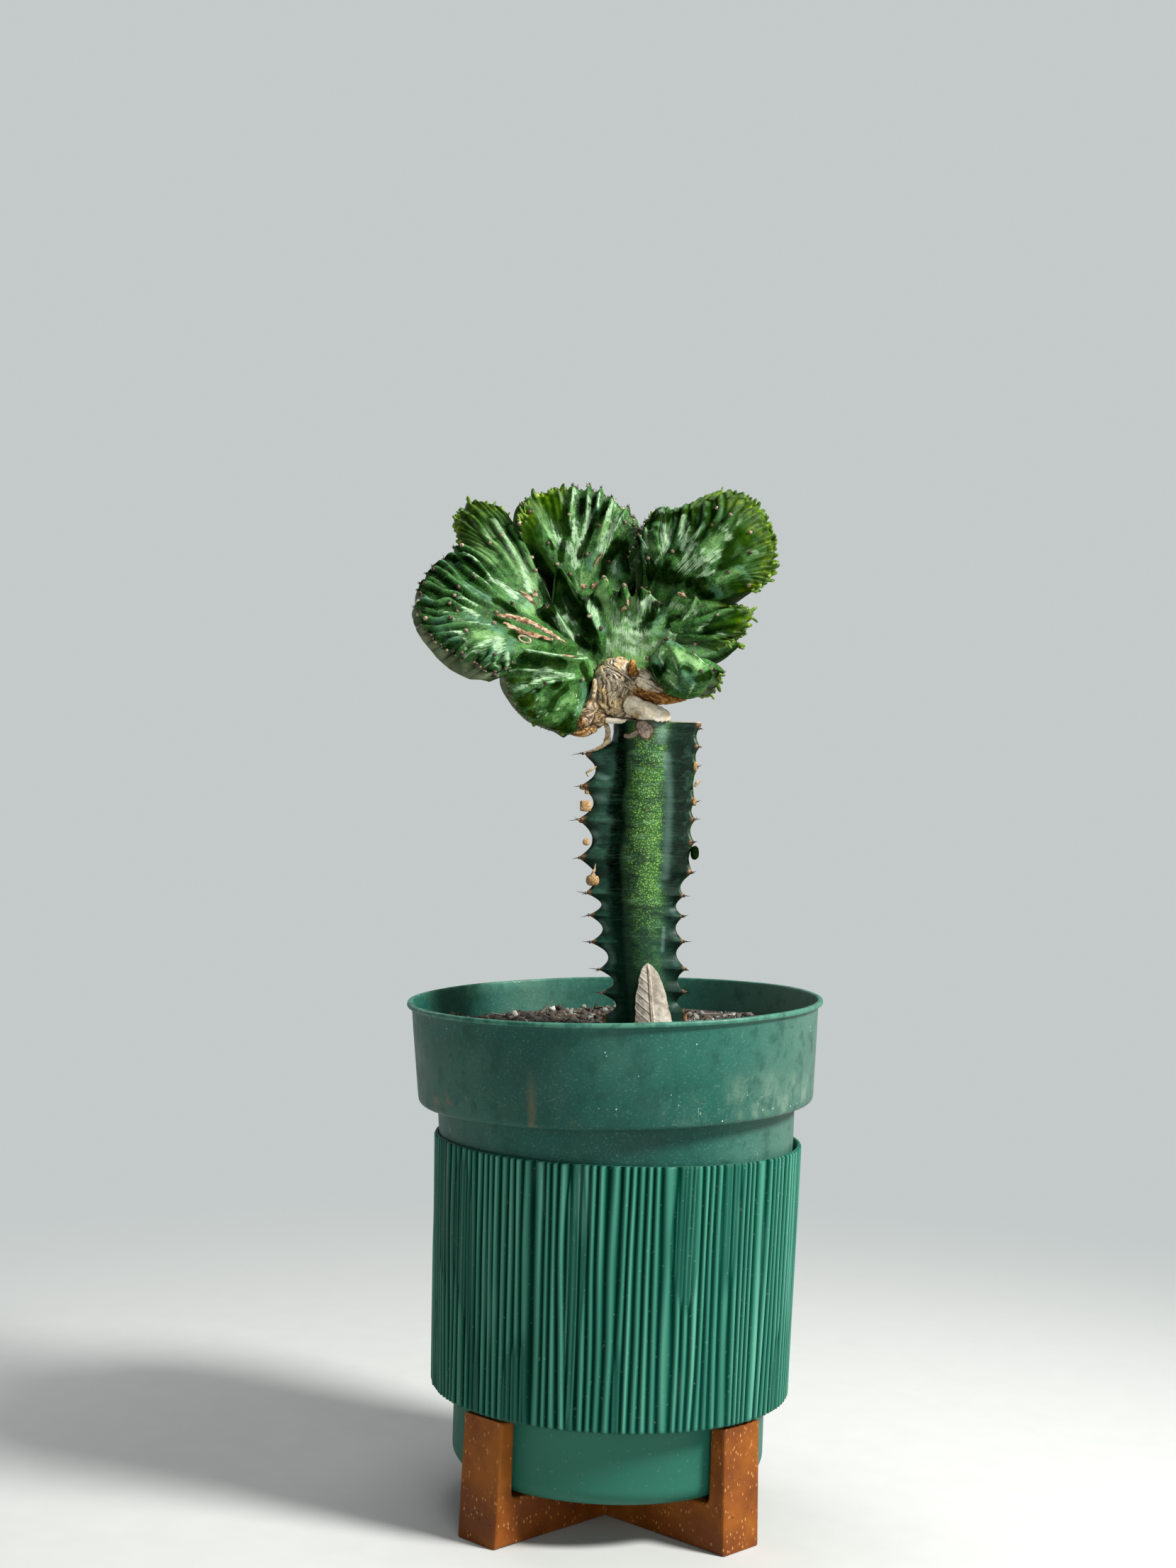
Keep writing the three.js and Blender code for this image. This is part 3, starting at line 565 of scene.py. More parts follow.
def nursery_look():
    """Thin satin green plastic with cloudy dust, scratches, water marks low on its right and small rust
    stains, olive patches on its left, a painted highlight down its right side and painted highlight spots
    along the top of its lip."""
    look = Look("nursery_pot_plastic")
    depth, turn, edge = look.fields("depth", "turn", "edge")
    soft = look.noise(16, 4, 0.6)
    look.base = soft.ramp((0.28, (0.003, 0.048, 0.036)), (0.5, (0.007, 0.074, 0.054)),
            (0.74, (0.016, 0.106, 0.076)))
    # olive patches, a little darker than the plastic, over the left half of the pot
    left_side_patches = look.noise(30, 5, 0.65).window(0.44, 0.68) * (turn.window(0.74, 0.5) * turn.window(0.26, 0.34))
    look.paint(left_side_patches * 0.45, (0.03, 0.062, 0.026))
    low = depth.window(0.4, 0.86) * depth.window(1.02, 0.93)
    right = turn.window(0.74, 0.9) * turn.window(0.998, 0.97)
    drip = look.noise(150, 4, 0.65, 0.6, over=look.scaled(look.place, (1, 1, 0.4)))
    cloud = look.noise(42, 5, 0.7)
    mark = low * right * (cloud.window(0.42, 0.66) * drip.window(0.36, 0.66))
    look.paint(mark * 0.38, (0.34, 0.44, 0.32))
    # veil: a faint pale cloud all over, and a pale painted highlight down the right side of the pot
    veil = look.noise(11, 3).window(0.45, 0.7) * 0.1 + turn.window(0.8, 0.95) * turn.window(1.24, 1.04) * 0.22
    look.paint(veil, (0.22, 0.34, 0.28))
    mottle = look.noise(130, 5, 0.7)
    look.paint(mottle.window(0.5, 0.34, 0, 0.5), (0.004, 0.044, 0.028))
    grain = look.noise(1100, 2).window(0.56, 0.68)
    look.paint(grain * mottle.window(0.35, 0.6, 0.05, 0.3), (0.12, 0.24, 0.18))
    line = look.noise((60, 60, 60), 2, 0.5, 2.5)
    thin = abs(line - 0.5).window(0.0045, 0)
    some = look.noise(55, 2).window(0.56, 0.66)
    scratch = thin * some * depth.window(0.45, 0.75)
    look.paint(scratch * 0.55, (0.4, 0.52, 0.44))
    dust = look.cells(330).window(0.13, 0.05)
    rare = look.noise(90, 2).window(0.6, 0.66)
    look.paint(dust * rare * 0.8, (0.62, 0.68, 0.6))
    rust = look.noise(75, 4).window(0.62, 0.72) * (depth.window(0.6, 0.92) * depth.window(1, 0.97)
            * turn.window(0.73, 0.68))
    look.paint(rust * 0.6, (0.24, 0.13, 0.05))
    run = abs(turn + drip * 0.006).window(0.6905, 0.6845)
    run = run * turn.window(0.676, 0.682) * (low * drip.window(0.35, 0.6))
    look.paint(run * 0.5, (0.2, 0.14, 0.07))
    # paler spots along the top of the lip: painted highlight, and partly wear
    look.paint(edge * look.noise(240, 3).window(0.42, 0.58, 0.25, 0.9), (0.06, 0.2, 0.14))
    height = look.noise(500, 3) + thin * -0.8
    return look.surface(Roughness=cloud.window(0.3, 0.7, 0.38, 0.56), Specular_IOR_Level=0.24,
            Normal=height.bump(0.00012, 0.35))


def nursery_pot():
    """Rings round a thin pot's profile, with slow dents of up to 0.5 mm and a lip that waves by 0.3 mm."""
    p, w = POT, POT.wall
    corners = (
        (0.01, -p.height), (p.foot, -p.height), (p.shoulder, -p.shoulder_depth),
        (p.neck, -p.collar), (p.collar_foot, -p.collar),
        (p.collar_top, -p.lip_height - 0.5), (p.lip - 0.2, -p.lip_height), (p.lip, -0.9),
        (p.lip - 0.4, 0.0), (p.lip_inner + 0.2, 0.0), (p.lip_inner, -0.8),
        (p.collar_foot - w - 0.4, -p.collar + w), (p.neck - w, -p.collar + w - 0.4),
        (p.shoulder - w, -p.shoulder_depth), (p.foot - w, -p.height + w), (0.01, -p.height + w))
    radii = (0, 2.0, 3.0, 0.6, 2.2, 0.8, 0.5, 0.6, 0.6, 0.5, 0.6, 1.0, 0.5, 1.0, 1.0, 0)
    profile = refine(rounded(corners, radii), 4.0)
    a, z = turns(192), profile[:, 1:]
    circle = turned(80, a, z)
    collar = step(z, -p.collar - 4, -p.collar + 6)
    dent = collar * (0.30 * noise(circle * [1, 1, 0.5], 45.0, 31) + 0.10 * noise(circle, 16.0, 32))
    radius = np.maximum(profile[:, :1] + dent, 0.01)
    nick = 0.10 * np.clip(noise(circle, 3.2, 35) - 0.5, 0, 1) * step(z, -1.2, -0.2)
    rings = turned(radius, a, z + (step(z, -6, 0) * 0.18 * noise(circle, 30.0, 33) + nick))
    # edge marks the top of the lip, where the look paints highlight spots
    piece = make("nursery_pot_body", leaned(rings), [ring_quads(*radius.shape)], nursery_look(),
            "nursery_pot_plastic", depth=np.clip(-z / p.collar, 0, 3),
            turn=0.25 + (a / (2 * np.pi) - 0.25) % 1.0,
            edge=step(z, -2.4, -1.4) * step(radius, p.lip_inner - 0.4, p.lip_inner + 0.6))
    close_poles(piece)
    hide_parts("nursery_pot")


# Soil

SOIL_DEPTH = 13.5
ROOT = (14, 1)  # where the stem leaves the soil, in the pot's own frame


def soil_look():
    """Dark mix with brown fibre, grey grit and a few pale grains."""
    look = Look("potting_mix")
    own = look.field("grain")
    look.base = look.noise(300, 5, 0.7).ramp((0.3, (0.012, 0.01, 0.008)), (0.5, (0.05, 0.04, 0.032)),
            (0.72, (0.125, 0.11, 0.09)))
    look.paint(own.window(0.45, 0.6), (0.12, 0.08, 0.05))
    look.paint(own.window(0.66, 0.74), (0.2, 0.21, 0.19))
    look.paint(own.window(0.93, 0.96), (0.46, 0.44, 0.4))
    normal = look.noise(1300, 4, 0.7).bump(0.0005, 0.9)
    return look.surface(Roughness=0.95, Normal=normal)


def lifted(points):
    """How far the broad lumps and the mound round the stem raise the soil."""
    mound = 2.0 * step(np.hypot(points[..., 0] - ROOT[0], points[..., 1] - ROOT[1]), 34, 18)
    return 1.1 * noise(points, 17.0, 51) + 0.7 * noise(points, 6.0, 52), mound


def soil():
    """A filled cone whose top is raised by noise, and crumbs and fibres strewn on it, sunk in by a third."""
    p, w = POT, POT.wall + 0.35
    draw = np.random.default_rng(CRUMB_SEED)
    side = np.array([(0.01, -p.height + w), (p.foot - w - 0.3, -p.height + w),
            (p.shoulder - w, -p.shoulder_depth), (p.neck - w - 0.2, -p.collar + w),
            (p.collar_foot - w - 0.6, -p.collar + w + 0.4)])
    edge = p.lip_inner - 2.2
    top = [(edge * share, -SOIL_DEPTH) for share in np.linspace(1, 0.002, 80)]
    profile = np.vstack([refine(side, 8.0), [edge + 0.1, -SOIL_DEPTH - 2.5], top])
    rings = turned(profile[:, :1], turns(240), profile[:, 1:])
    lumps, mound = lifted(rings)
    lift = lumps + 0.45 * noise(rings, 2.4, 53) + mound
    lift *= step(edge - np.hypot(rings[..., 0], rings[..., 1]), -0.5, 2.5)
    rings[..., 2] += lift * (profile[:, 1:] == -SOIL_DEPTH)
    parts = [(rings.reshape(-1, 3), [ring_quads(*rings.shape[:2])], {"grain": 0.1})]
    unit_ball, faces = ball(6, 4)
    for kind, count in (("crumb", 1500), ("fibre", 420)):
        for _ in range(count):
            r = (edge - 1.0) * math.sqrt(draw.random())
            at = turned(r, 2 * np.pi * draw.random(), -SOIL_DEPTH)
            if math.hypot(at[0] - ROOT[0], at[1] - ROOT[1]) < 15:
                continue
            size = 0.5 + 1.5 * draw.random() ** 2.5
            stretch = np.array([1.0, 0.8, 0.7] if kind == "crumb" else [2.6 + 2 * draw.random(), 0.35, 0.3])
            shape = unit_ball * (1 + 0.25 * draw.standard_normal((len(unit_ball), 1))) * stretch * size
            q = draw.standard_normal(4)
            if kind == "fibre":
                q *= [1, 0.15, 0.15, 1]
            u, *v = q / np.linalg.norm(q)
            shape = shape + 2 * np.cross(v, np.cross(v, shape) + u * shape)
            shape = shape + at + [0, 0, sum(lifted(at)) + 0.35 * size * stretch[2]]
            parts.append((shape, faces, {"grain": draw.random()}))
    points, faces, fields = join(parts)
    piece = make("soil_mix", leaned(points), faces, soil_look(), "potting_mix", **fields)
    close_poles(piece)
    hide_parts("soil")


# Stem

STEM = Named(cut=321.1, foot=184.0, body_top=14.0, body_foot=11.8, body_full=265.0, width=0.2)
WING_TURN = (197.0, 325.0, 440.0)
STEM_AXIS = ((184, 11.5), (200, 11), (230, 8), (262, 6), (321.1, 6.6))
WING_REACH = (
    ((184, 19), (205, 20.3), (219, 21), (231, 24), (245, 24), (264, 27.6), (280, 28.6), (307, 28), (311, 15),
     (321.1, 14.4)),
    ((184, 18.4), (205, 18.8), (220, 20.2), (245, 19.9), (253, 21), (260, 24.6), (290, 25.2), (321.1, 25.4)),
    ((184, 19), (240, 22.5), (280, 26), (321.1, 26)),
)
TEETH = (
    (306.8, 293.5, 279.9, 264.4, 250.1, 241.2, 230.2, 219.1, 209.6, 200.2),
    (319.5, 311.1, 302.9, 288.8, 281.6, 272.5, 260.1, 250.5, 242.2, 232.0, 220.8, 211.4, 203.5),
    (319.5, 306.8, 293.5, 281.6, 272.5, 260.1, 250.1, 241.2, 232.0, 219.1, 209.6, 200.2),
)
TOOTH_DEPTH = (((184, 6.6),), ((184, 4.6), (240, 4.4), (264, 2.2), (322, 2.0)), ((184, 4.6),))
STEM_STAIN = ((10, 908,1026, 913,1030, 910,1033), (3, 900,1032, 890,1038, 882,1038))
# painted sheen: lines of bluish-white highlight on the stem's front and in the hollows between the teeth of
# its left flank
STEM_SHEEN_LINES = ((8, 926,1022, 934,1030, 932,1040), (4, 838,1092, 856,1098), (5, 836,1122, 852,1126),
        (5, 838,1176, 852,1182), (4, 836,1210, 848,1222), (4, 846,1268, 854,1280), (4, 848,1300, 856,1312),
        (5, 856,1336, 864,1356), (5, 862,1382, 870,1400), (5, 942,1065, 944,1120, 943,1170, 941,1235),
        (2.5, 937,1310, 935,1340))


def between_teeth(teeth, heights):
    """0 on a tooth's tip and sin(pi t)^0.9 towards the next, so 1 in the hollow between them."""
    order = np.sort(teeth)
    j = np.clip(np.searchsorted(order, heights, side="right") - 1, 0, len(order) - 2)
    t = (heights - order[j]) / (order[j + 1] - order[j])
    return np.sin(np.pi * np.clip(t, 0, 1)) ** 0.9


def stem_look():
    """Waxy skin: painted shade in the fold beside the left wing, a broad speckled light-green band down the
    front, painted bluish sheen near the right wing and in the hollows of the left flank, painted sheen on the
    wing flanks and painted shade along the wing edges, dark right flank, brown horny tooth edges, pale flecks
    and cross scratches."""
    look = Look("stem_skin")
    arc, wing, tip, height, blue, stain = look.fields("arc", "wing", "tip", "height", "blue", "stain")
    warp = look.noise((60, 60, 110), 4)
    moved = arc + (warp - 0.5) * 0.19
    # the ramp paints shade near-black from 0.115 to 0.25 in the fold beside the left wing, and a faint
    # painted sheen at 0.085 on the left flank
    look.base = moved.ramp((0, (0.004, 0.022, 0.012)), (0.05, (0.006, 0.034, 0.02)),
            (0.085, (0.012, 0.05, 0.034)), (0.115, (0.0006, 0.003, 0.002)), (0.2, (0.0002, 0.001, 0.0005)),
            (0.25, (0.001, 0.007, 0.002)), (0.3, (0.012, 0.052, 0.01)), (0.48, (0.022, 0.086, 0.016)),
            (0.76, (0.03, 0.11, 0.021)), (0.84, (0.014, 0.054, 0.022)), (0.89, (0.008, 0.032, 0.02)),
            (0.93, (0.001, 0.006, 0.003)), (1, (0.002, 0.012, 0.006)))
    patch = look.noise((110, 110, 200), 5, 0.62, 0.4)
    look.paint(patch.window(0.56, 0.36, 0, 0.72), (0.004, 0.024, 0.014))
    lower = height.window(262, 222)
    look.paint(lower * 0.65, (0.005, 0.036, 0.024))
    fleck = look.noise((1250, 1250, 1450), 2, 0.6, 0.3)
    more = abs(moved - 0.58).window(0.34, 0.1) * patch.window(0.3, 0.58, 0.35, 1)
    more = more * height.window(222, 262, 0.25, 1)
    dots = look.cells(1350).window(0.5, 0.26) * fleck.window(0.34, 0.5)
    look.paint(dots * more.window(0, 1, 0.03, 0.95), (0.235, 0.4, 0.085))
    streak = look.noise((70, 70, 520), 3, 0.6, 1.2)
    look.paint(streak.window(0.56, 0.68) * more.window(0, 0.5, 0.08, 0.4), (0.12, 0.27, 0.15))
    look.paint(streak.window(0.46, 0.34) * 0.7, (0.002, 0.014, 0.006))
    # painted shade near the wing edges, where the lamps light faces that are to look dark
    look.paint(wing.window(0.6, 0.92) * 0.75, (0.003, 0.016, 0.008))
    sheen = wing.window(0.3, 0.65) * wing.window(0.95, 0.75)
    look.paint(sheen * patch.window(0.5, 0.66, 0, 0.45), (0.05, 0.13, 0.1))
    # painted bluish sheen along the sheen lines
    look.paint((blue + streak * 0.6).window(0.35, 1.3) * 0.55, (0.125, 0.225, 0.185))
    horn = look.noise(600, 3).ramp((0.3, (0.055, 0.022, 0.01)), (0.6, (0.22, 0.11, 0.05)),
            (0.8, (0.45, 0.33, 0.2)))
    look.paint(tip.window(0.35, 0.85), horn)
    top = height.window(320.45, 321)
    callus = look.noise(220, 4).ramp((0.3, (0.17, 0.16, 0.1)), (0.55, (0.46, 0.42, 0.34)),
            (0.8, (0.66, 0.62, 0.54)))
    look.paint(top, callus)
    stain = stain + (patch - 0.5) * 0.8
    look.paint(stain.window(0.3, 0.48) * 0.7, (0.06, 0.03, 0.014))
    look.paint(stain.window(0.48, 0.6) * 0.85, fleck.ramp((0.35, (0.14, 0.085, 0.06)),
            (0.65, (0.42, 0.33, 0.27))))
    lumps = look.noise(260, 4, 0.6) + fleck * 0.35
    return look.surface(Roughness=patch.window(0.3, 0.7, 0.52, 0.42), Normal=lumps.bump(0.00035, 0.45),
            Specular_IOR_Level=abs(moved - 0.18).window(0.04, 0.12, 0.01, 0.2))


def stem():
    """Rings up the stem. At each height and turn the radius is body + (wing - body) * flank, where flank is
    (1 - d / width)^1.7 of the angular distance d to the nearest wing, and wing is its reach less the hollow
    between two teeth. Low noise makes the faces uneven."""
    heights = np.concatenate([np.arange(STEM.foot, STEM.cut - 0.7, 0.45),
            STEM.cut - np.array([0.6, 0.42, 0.27, 0.15, 0.06, 0.0])])
    tall = heights[:, None]
    across = 52  # columns from wing to wing
    place = np.arange(across) / across
    # the distance to the nearest wing in widths, rounded at its edge
    soft = np.sqrt((np.minimum(place, 1 - place) / STEM.width) ** 2 + 0.012 ** 2) - 0.012
    flank = np.clip(1 - soft, 0, 1) ** 1.7
    body = np.interp(np.minimum(tall, STEM.body_full), [STEM.foot, STEM.body_full],
            [STEM.body_foot, STEM.body_top])
    axis = table(STEM_AXIS, heights)[:, None, None] * [1.0, 0, 0]
    hollow = [between_teeth(teeth, tall) for teeth in TEETH]
    reach = []
    for rows, depth, gap in zip(WING_REACH, TOOTH_DEPTH, hollow):
        evened = np.convolve(np.pad(table(rows, heights), 4, "edge"), np.ones(9) / 9, "valid")[:, None]
        reach.append(np.maximum(evened - table(depth, tall) * gap, body))
    rim = np.clip((tall - (STEM.cut - 0.6)) / 0.6, 0, 1)
    shrink = 0.6 * (1 - np.sqrt(1 - rim ** 2))
    rings, fields = [], {}
    for w, start in enumerate(WING_TURN):
        span = (WING_TURN[w - 2] - start) % 360
        wing, gap = (np.where(place <= 0.5, of[w], of[w - 2]) for of in (reach, hollow))
        radius = body + (wing - body) * flank - shrink
        rings.append(turned(radius, np.radians(start + span * place), tall) + axis)
        for key, value in {"arc": place if w == 0 else 0.25 + 0.6 * place, "wing": flank, "height": tall,
                "tip": step(flank, 0.72, 0.97) * (0.35 + 0.65 * (1 - step(gap, 0.1, 0.62)))}.items():
            fields.setdefault(key, []).append(np.broadcast_to(value, radius.shape))
    points = np.concatenate(rings, 1)
    fields = {key: np.concatenate(values, 1) for key, values in fields.items()}
    uneven = 0.35 * noise(points, 14.0, 61) + 0.22 * noise(points * [1, 1, 1.6], 5.0, 62)
    bulge = 0.55 * fields["wing"] * (1 - fields["wing"]) * np.sin(points[..., 2] * 0.55)
    calm = 1 - step(tall, STEM.cut - 1.0, STEM.cut)
    points = points + unit(points * [1, 1, 0] - axis) * ((uneven + bulge) * calm)[..., None]
    fields.update(stain=seen_patches(STEM_STAIN, points), blue=seen_patches(STEM_SHEEN_LINES, points))
    for key, values in fields.items():
        fields[key] = np.append(values, [values[0, 0], values[-1, -1] if key == "height" else 0.0])
    foot, top = axis[[0, -1], 0]
    return *closed(points, foot + [0, 0, STEM.foot], top + [0, 0, STEM.cut - 0.15]), fields


# Crest

# A fan runs from its hub to its rim, both curves through places in mm. It has a number of ribs and the
# half thickness at its hub, middle and rim. `belly` swells its back, `groove` is the depth of its ribs
# there, `tooth` how far they push its rim out, `bow` how far its middle bulges, and `ruffle` the height,
# number and phase of its waves. `lap` is how far the underside stands out past the rim and up to which
# share of it, `web` the rows over which a plain rim turns into the drawn one, and `rise` the share of an
# edge's line over which it grows. `young` and `horn` say how leafy and how thorny the rim is at shares of
# its length.
FANS = (
    dict(name="left", hub=((-24, -8, 346.5), (-27.5, -5, 352.5), (-31, 0, 358.5), (-34.5, 6, 363.5)),
        rim=((-53.5, -36, 335), (-64.5, -37, 339), (-75, -36, 346), (-84, -31, 354.5), (-88, -22, 364.5),
        (-85, -11, 376), (-77.5, -3, 385), (-73, 3, 391.5), (-75.5, 8, 400.5), (-69.5, 11, 409),
        (-58.5, 12, 407), (-51, 10, 399.5)), ribs=26, thick=(4, 6, 4.6), belly=4, groove=2.6, tooth=2.6,
        bow=4, ruffle=(1.2, 3, 0.3), lap=(5.5, 0.5), young=((0, 0), (0.60, 0), (0.68, 1), (0.93, 1),
        (0.98, 0.3), (1, 0)), horn=((0, 1), (0.36, 1), (0.42, 0.3), (0.6, 0.3), (0.66, 0), (1, 0))),
    dict(name="middle", hub=((-28.5, 6, 372.5), (-22.5, 4, 370.5), (-5.5, 4, 374)), rim=((-49, -3, 396),
        (-49.5, 2, 405.5), (-44.5, 9, 413), (-34, 14, 417.5), (-22, 16, 418), (-11.5, 15, 414.5),
        (-3.5, 12, 408.5), (-0.5, 7, 399), (-1.5, 4, 389)), ribs=16, thick=(4, 6, 4.2), belly=2,
        rise=(0.1, 0.85), groove=2.6, tooth=4.2, bow=-5, ruffle=(2, 2.2, 0), young=((0, 0.3), (0.2, 0.6),
        (0.38, 0.8), (0.44, 0), (1, 0)), horn=((0, 0.4), (0.42, 0.3), (0.5, 0.7), (1, 0.7))),
    dict(name="right", hub=((2.5, 5, 374), (7, 4, 368.5), (18.5, 2, 364.5)), rim=((-2.5, -1, 395),
        (3, 4, 405), (14, 8, 409.5), (26, 8, 413), (37.5, 6, 416), (48, 2, 411.5), (54.5, -2, 400.5),
        (55.5, -5, 388.5), (53, -6, 380), (47.5, -6, 374.5)), ribs=24, thick=(4, 6.5, 4.6), belly=3,
        groove=2.4, tooth=2.4, bow=5, ruffle=(2.5, 2, 1.5), young=((0, 0), (0.28, 0.1), (0.36, 1), (1, 1)),
        horn=((0, 0.8), (0.30, 0.8), (0.36, 0), (1, 0.1))),
    dict(name="front", hub=((-24.5, -7, 346), (-14, -4, 339.5), (-7, -5, 338.5), (3, -4, 340.5),
        (9.5, -7, 346.5)), rim=((-42.5, -12, 358.5), (-37.5, -14, 366.5), (-34, -11, 367), (-32.5, -6, 383),
        (-21, -7, 370.5), (-13.5, -14, 379), (-9, -8, 371.5), (-5.5, -14, 376), (-2, -9, 371.5),
        (2, -13, 375), (10.5, -9, 369.5), (18, -13, 374.5), (21.5, -10, 369.5), (24.5, -12, 372),
        (29.5, -10, 361)), ribs=14, thick=(3, 6, 1.4), belly=3, groove=0.8, tooth=0.6, bow=-5,
        ruffle=(0, 1, 0), web=(0.45, 0.95), young=((0, 0), (1, 0)), horn=((0, 0), (1, 0))),
    dict(name="side", hub=((12.5, -2, 364.5), (14, -4, 359.5), (16, -4, 354)), rim=((30, -2, 366),
        (38.5, -4, 368.5), (46.5, -2, 367), (45, -6, 360), (40.5, -4, 355.5), (33.5, -6, 350.5)), ribs=9,
        thick=(5, 5, 2.5), belly=0, groove=1.8, tooth=2, bow=2, ruffle=(2.5, 2.5, 0), young=((0, 1), (1, 1)),
        horn=((0, 0), (0.8, 0), (1, 0.6))),
    dict(name="knuckle", hub=((7, -8, 340.5), (11, -8, 338.5), (16.5, -8, 335.5)), rim=((5, -18, 345.5),
        (12.5, -21, 353), (23.5, -23, 348), (31, -22, 341), (28.5, -19, 335), (24.5, -16, 331.5)), ribs=4,
        thick=(4, 7.5, 4), belly=0, groove=1.2, tooth=0.8, bow=5, ruffle=(0, 1, 0), young=((0, 0), (0.75, 0),
        (0.85, 0.5), (1, 0.4)), horn=((0, 0), (1, 0))),
    dict(name="lower", hub=((-23.5, -5, 322), (-21, -6, 328.5), (-19, -7, 338), (-19.5, -7, 346.5)),
        rim=((-26.5, -14, 314), (-33.5, -20, 316), (-41, -25, 319), (-47.5, -30, 325), (-51.5, -33, 332.5),
        (-51.5, -34, 341), (-46, -32, 347.5)), ribs=9, thick=(4, 6, 4), belly=4, groove=2.2, tooth=1, bow=4,
        ruffle=(1, 2, 0), lap=(3, 1), young=((0, 0.2), (0.55, 0.3), (0.8, 0), (1, 0)), horn=((0, 0.8),
        (0.65, 0.8), (0.75, 0), (1, 0))),
    dict(name="upper_back", hub=((-26, 0, 350), (-12, 4, 356), (10, 4, 352)), rim=((-58, 20, 350),
        (-52, 40, 364), (-26, 56, 374), (6, 58, 376), (32, 46, 368), (46, 24, 354)), ribs=17,
        thick=(4, 6.5, 4.6), belly=2, groove=3, tooth=2.2, bow=-5, ruffle=(4, 3, 0.5), young=((0, 0.2),
        (0.5, 0.8), (1, 0.4)), horn=((0, 0.6), (0.3, 0.2), (0.7, 0.2), (1, 0.6))),
    dict(name="lower_back", hub=((-22, 2, 346), (-6, 4, 341), (14, 2, 346)), rim=((-54, 14, 338),
        (-42, 34, 331), (-14, 46, 330), (14, 44, 333), (32, 30, 337), (38, 14, 342)), ribs=12,
        thick=(4, 6, 4.4), belly=2, groove=3, tooth=2.2, bow=4, ruffle=(3, 2, 0.5), young=((0, 0.2),
        (1, 0.3)), horn=((0, 0.6), (1, 0.6))),
)
# What the front view shows of each fan, as lines through places x,y in the image. Ribs have a height and a
# half width in mm and round backs. Edges have a height and the half widths on their left and right, and sharp
# backs. The rest have half widths in pixels, and bumps are single places.
RIBS = {
    "left": ((1.7, 1.9, 757,850, 752,815, 743,785, 732,762, 722,746),
        (1.3, 1.7, 747,840, 735,803, 718,770, 706,752, 695,736),
        (1.3, 1.6, 738,838, 722,803, 703,775, 691,763, 678,746, 666,731),
        (1.4, 1.6, 724,836, 705,812, 688,792, 670,780, 654,773),
        (1.8, 1.5, 716,842, 700,828, 680,803, 664,788, 650,782),
        (2.2, 1.7, 722,851, 700,838, 682,825, 668,815, 652,800, 634,783),
        (2, 1.5, 715,856, 690,846, 668,834, 650,822, 638,808, 624,795),
        (2.2, 1.7, 722,862, 700,857, 672,845, 647,827, 630,815, 612,802),
        (2.1, 1.7, 705,866, 675,858, 655,848, 643,841, 620,835, 600,824),
        (1.4, 0.9, 632,834, 622,827, 612,820, 602,815),
        (2, 1.6, 690,872, 665,864, 648,857, 634,849, 615,852, 600,848, 588,841),
        (1.5, 1.2, 660,866, 640,866, 620,866, 603,861),
        (1.8, 1.5, 665,878, 650,872, 636,873, 620,877, 603,873, 592,870),
        (1.7, 1.4, 690,884, 665,880, 640,884, 620,888, 600,887),
        (1.5, 1.2, 662,889, 645,893, 625,896, 609,897), (1.4, 1.2, 658,897, 642,902, 626,911),
        (1.8, 1.8, 666,898, 657,913, 650,928), (2, 2, 684,903, 668,918, 660,938),
        (1.6, 1.6, 700,905, 692,926, 680,945), (1.4, 1.3, 703,915, 699,935, 694,955),
        (1.8, 1.8, 710,908, 716,926, 713,944, 706,956)),
    "right": ((1.5, 1.8, 905,800, 899,775, 896,757, 893,742), (0.8, 1, 912,765, 909,745, 905,731),
        (1.8, 2, 930,795, 924,765, 924,742, 931,723), (1.2, 1.3, 945,778, 938,755, 937,735, 941,718),
        (0.7, 0.8, 951,750, 952,735, 953,717), (1.7, 1.8, 951,780, 957,755, 965,733, 968,716),
        (0.7, 0.8, 975,745, 978,730, 976,714), (1.8, 1.9, 965,778, 982,757, 995,738, 998,712),
        (1.5, 1.7, 988,775, 1003,745, 1014,728, 1018,703), (1.2, 1.7, 1012,762, 1032,729, 1046,708),
        (0.8, 2.6, 998,812, 1030,806, 1050,790, 1075,775), (0.9, 2, 1006,812, 1011,832, 1018,850),
        (0.8, 2, 1040,798, 1049,812, 1060,828), (0.7, 2.2, 1020,790, 1045,765, 1072,745)),
    "side": ((1.3, 1.7, 957,880, 985,876, 1010,868, 1032,860),
        (1.1, 1.5, 960,895, 990,889, 1020,880, 1054,872), (1.1, 1.4, 962,904, 992,902, 1022,896, 1048,894),
        (1, 1.2, 968,908, 990,911, 1012,917)),
    "lower": ((0.35, 1.3, 800,975, 778,990, 760,1014), (0.35, 1.2, 812,985, 798,1005, 784,1028),
        (0.35, 1.3, 832,965, 827,985, 812,1008, 801,1030), (0.35, 1.2, 785,968, 760,982, 740,1004)),
}
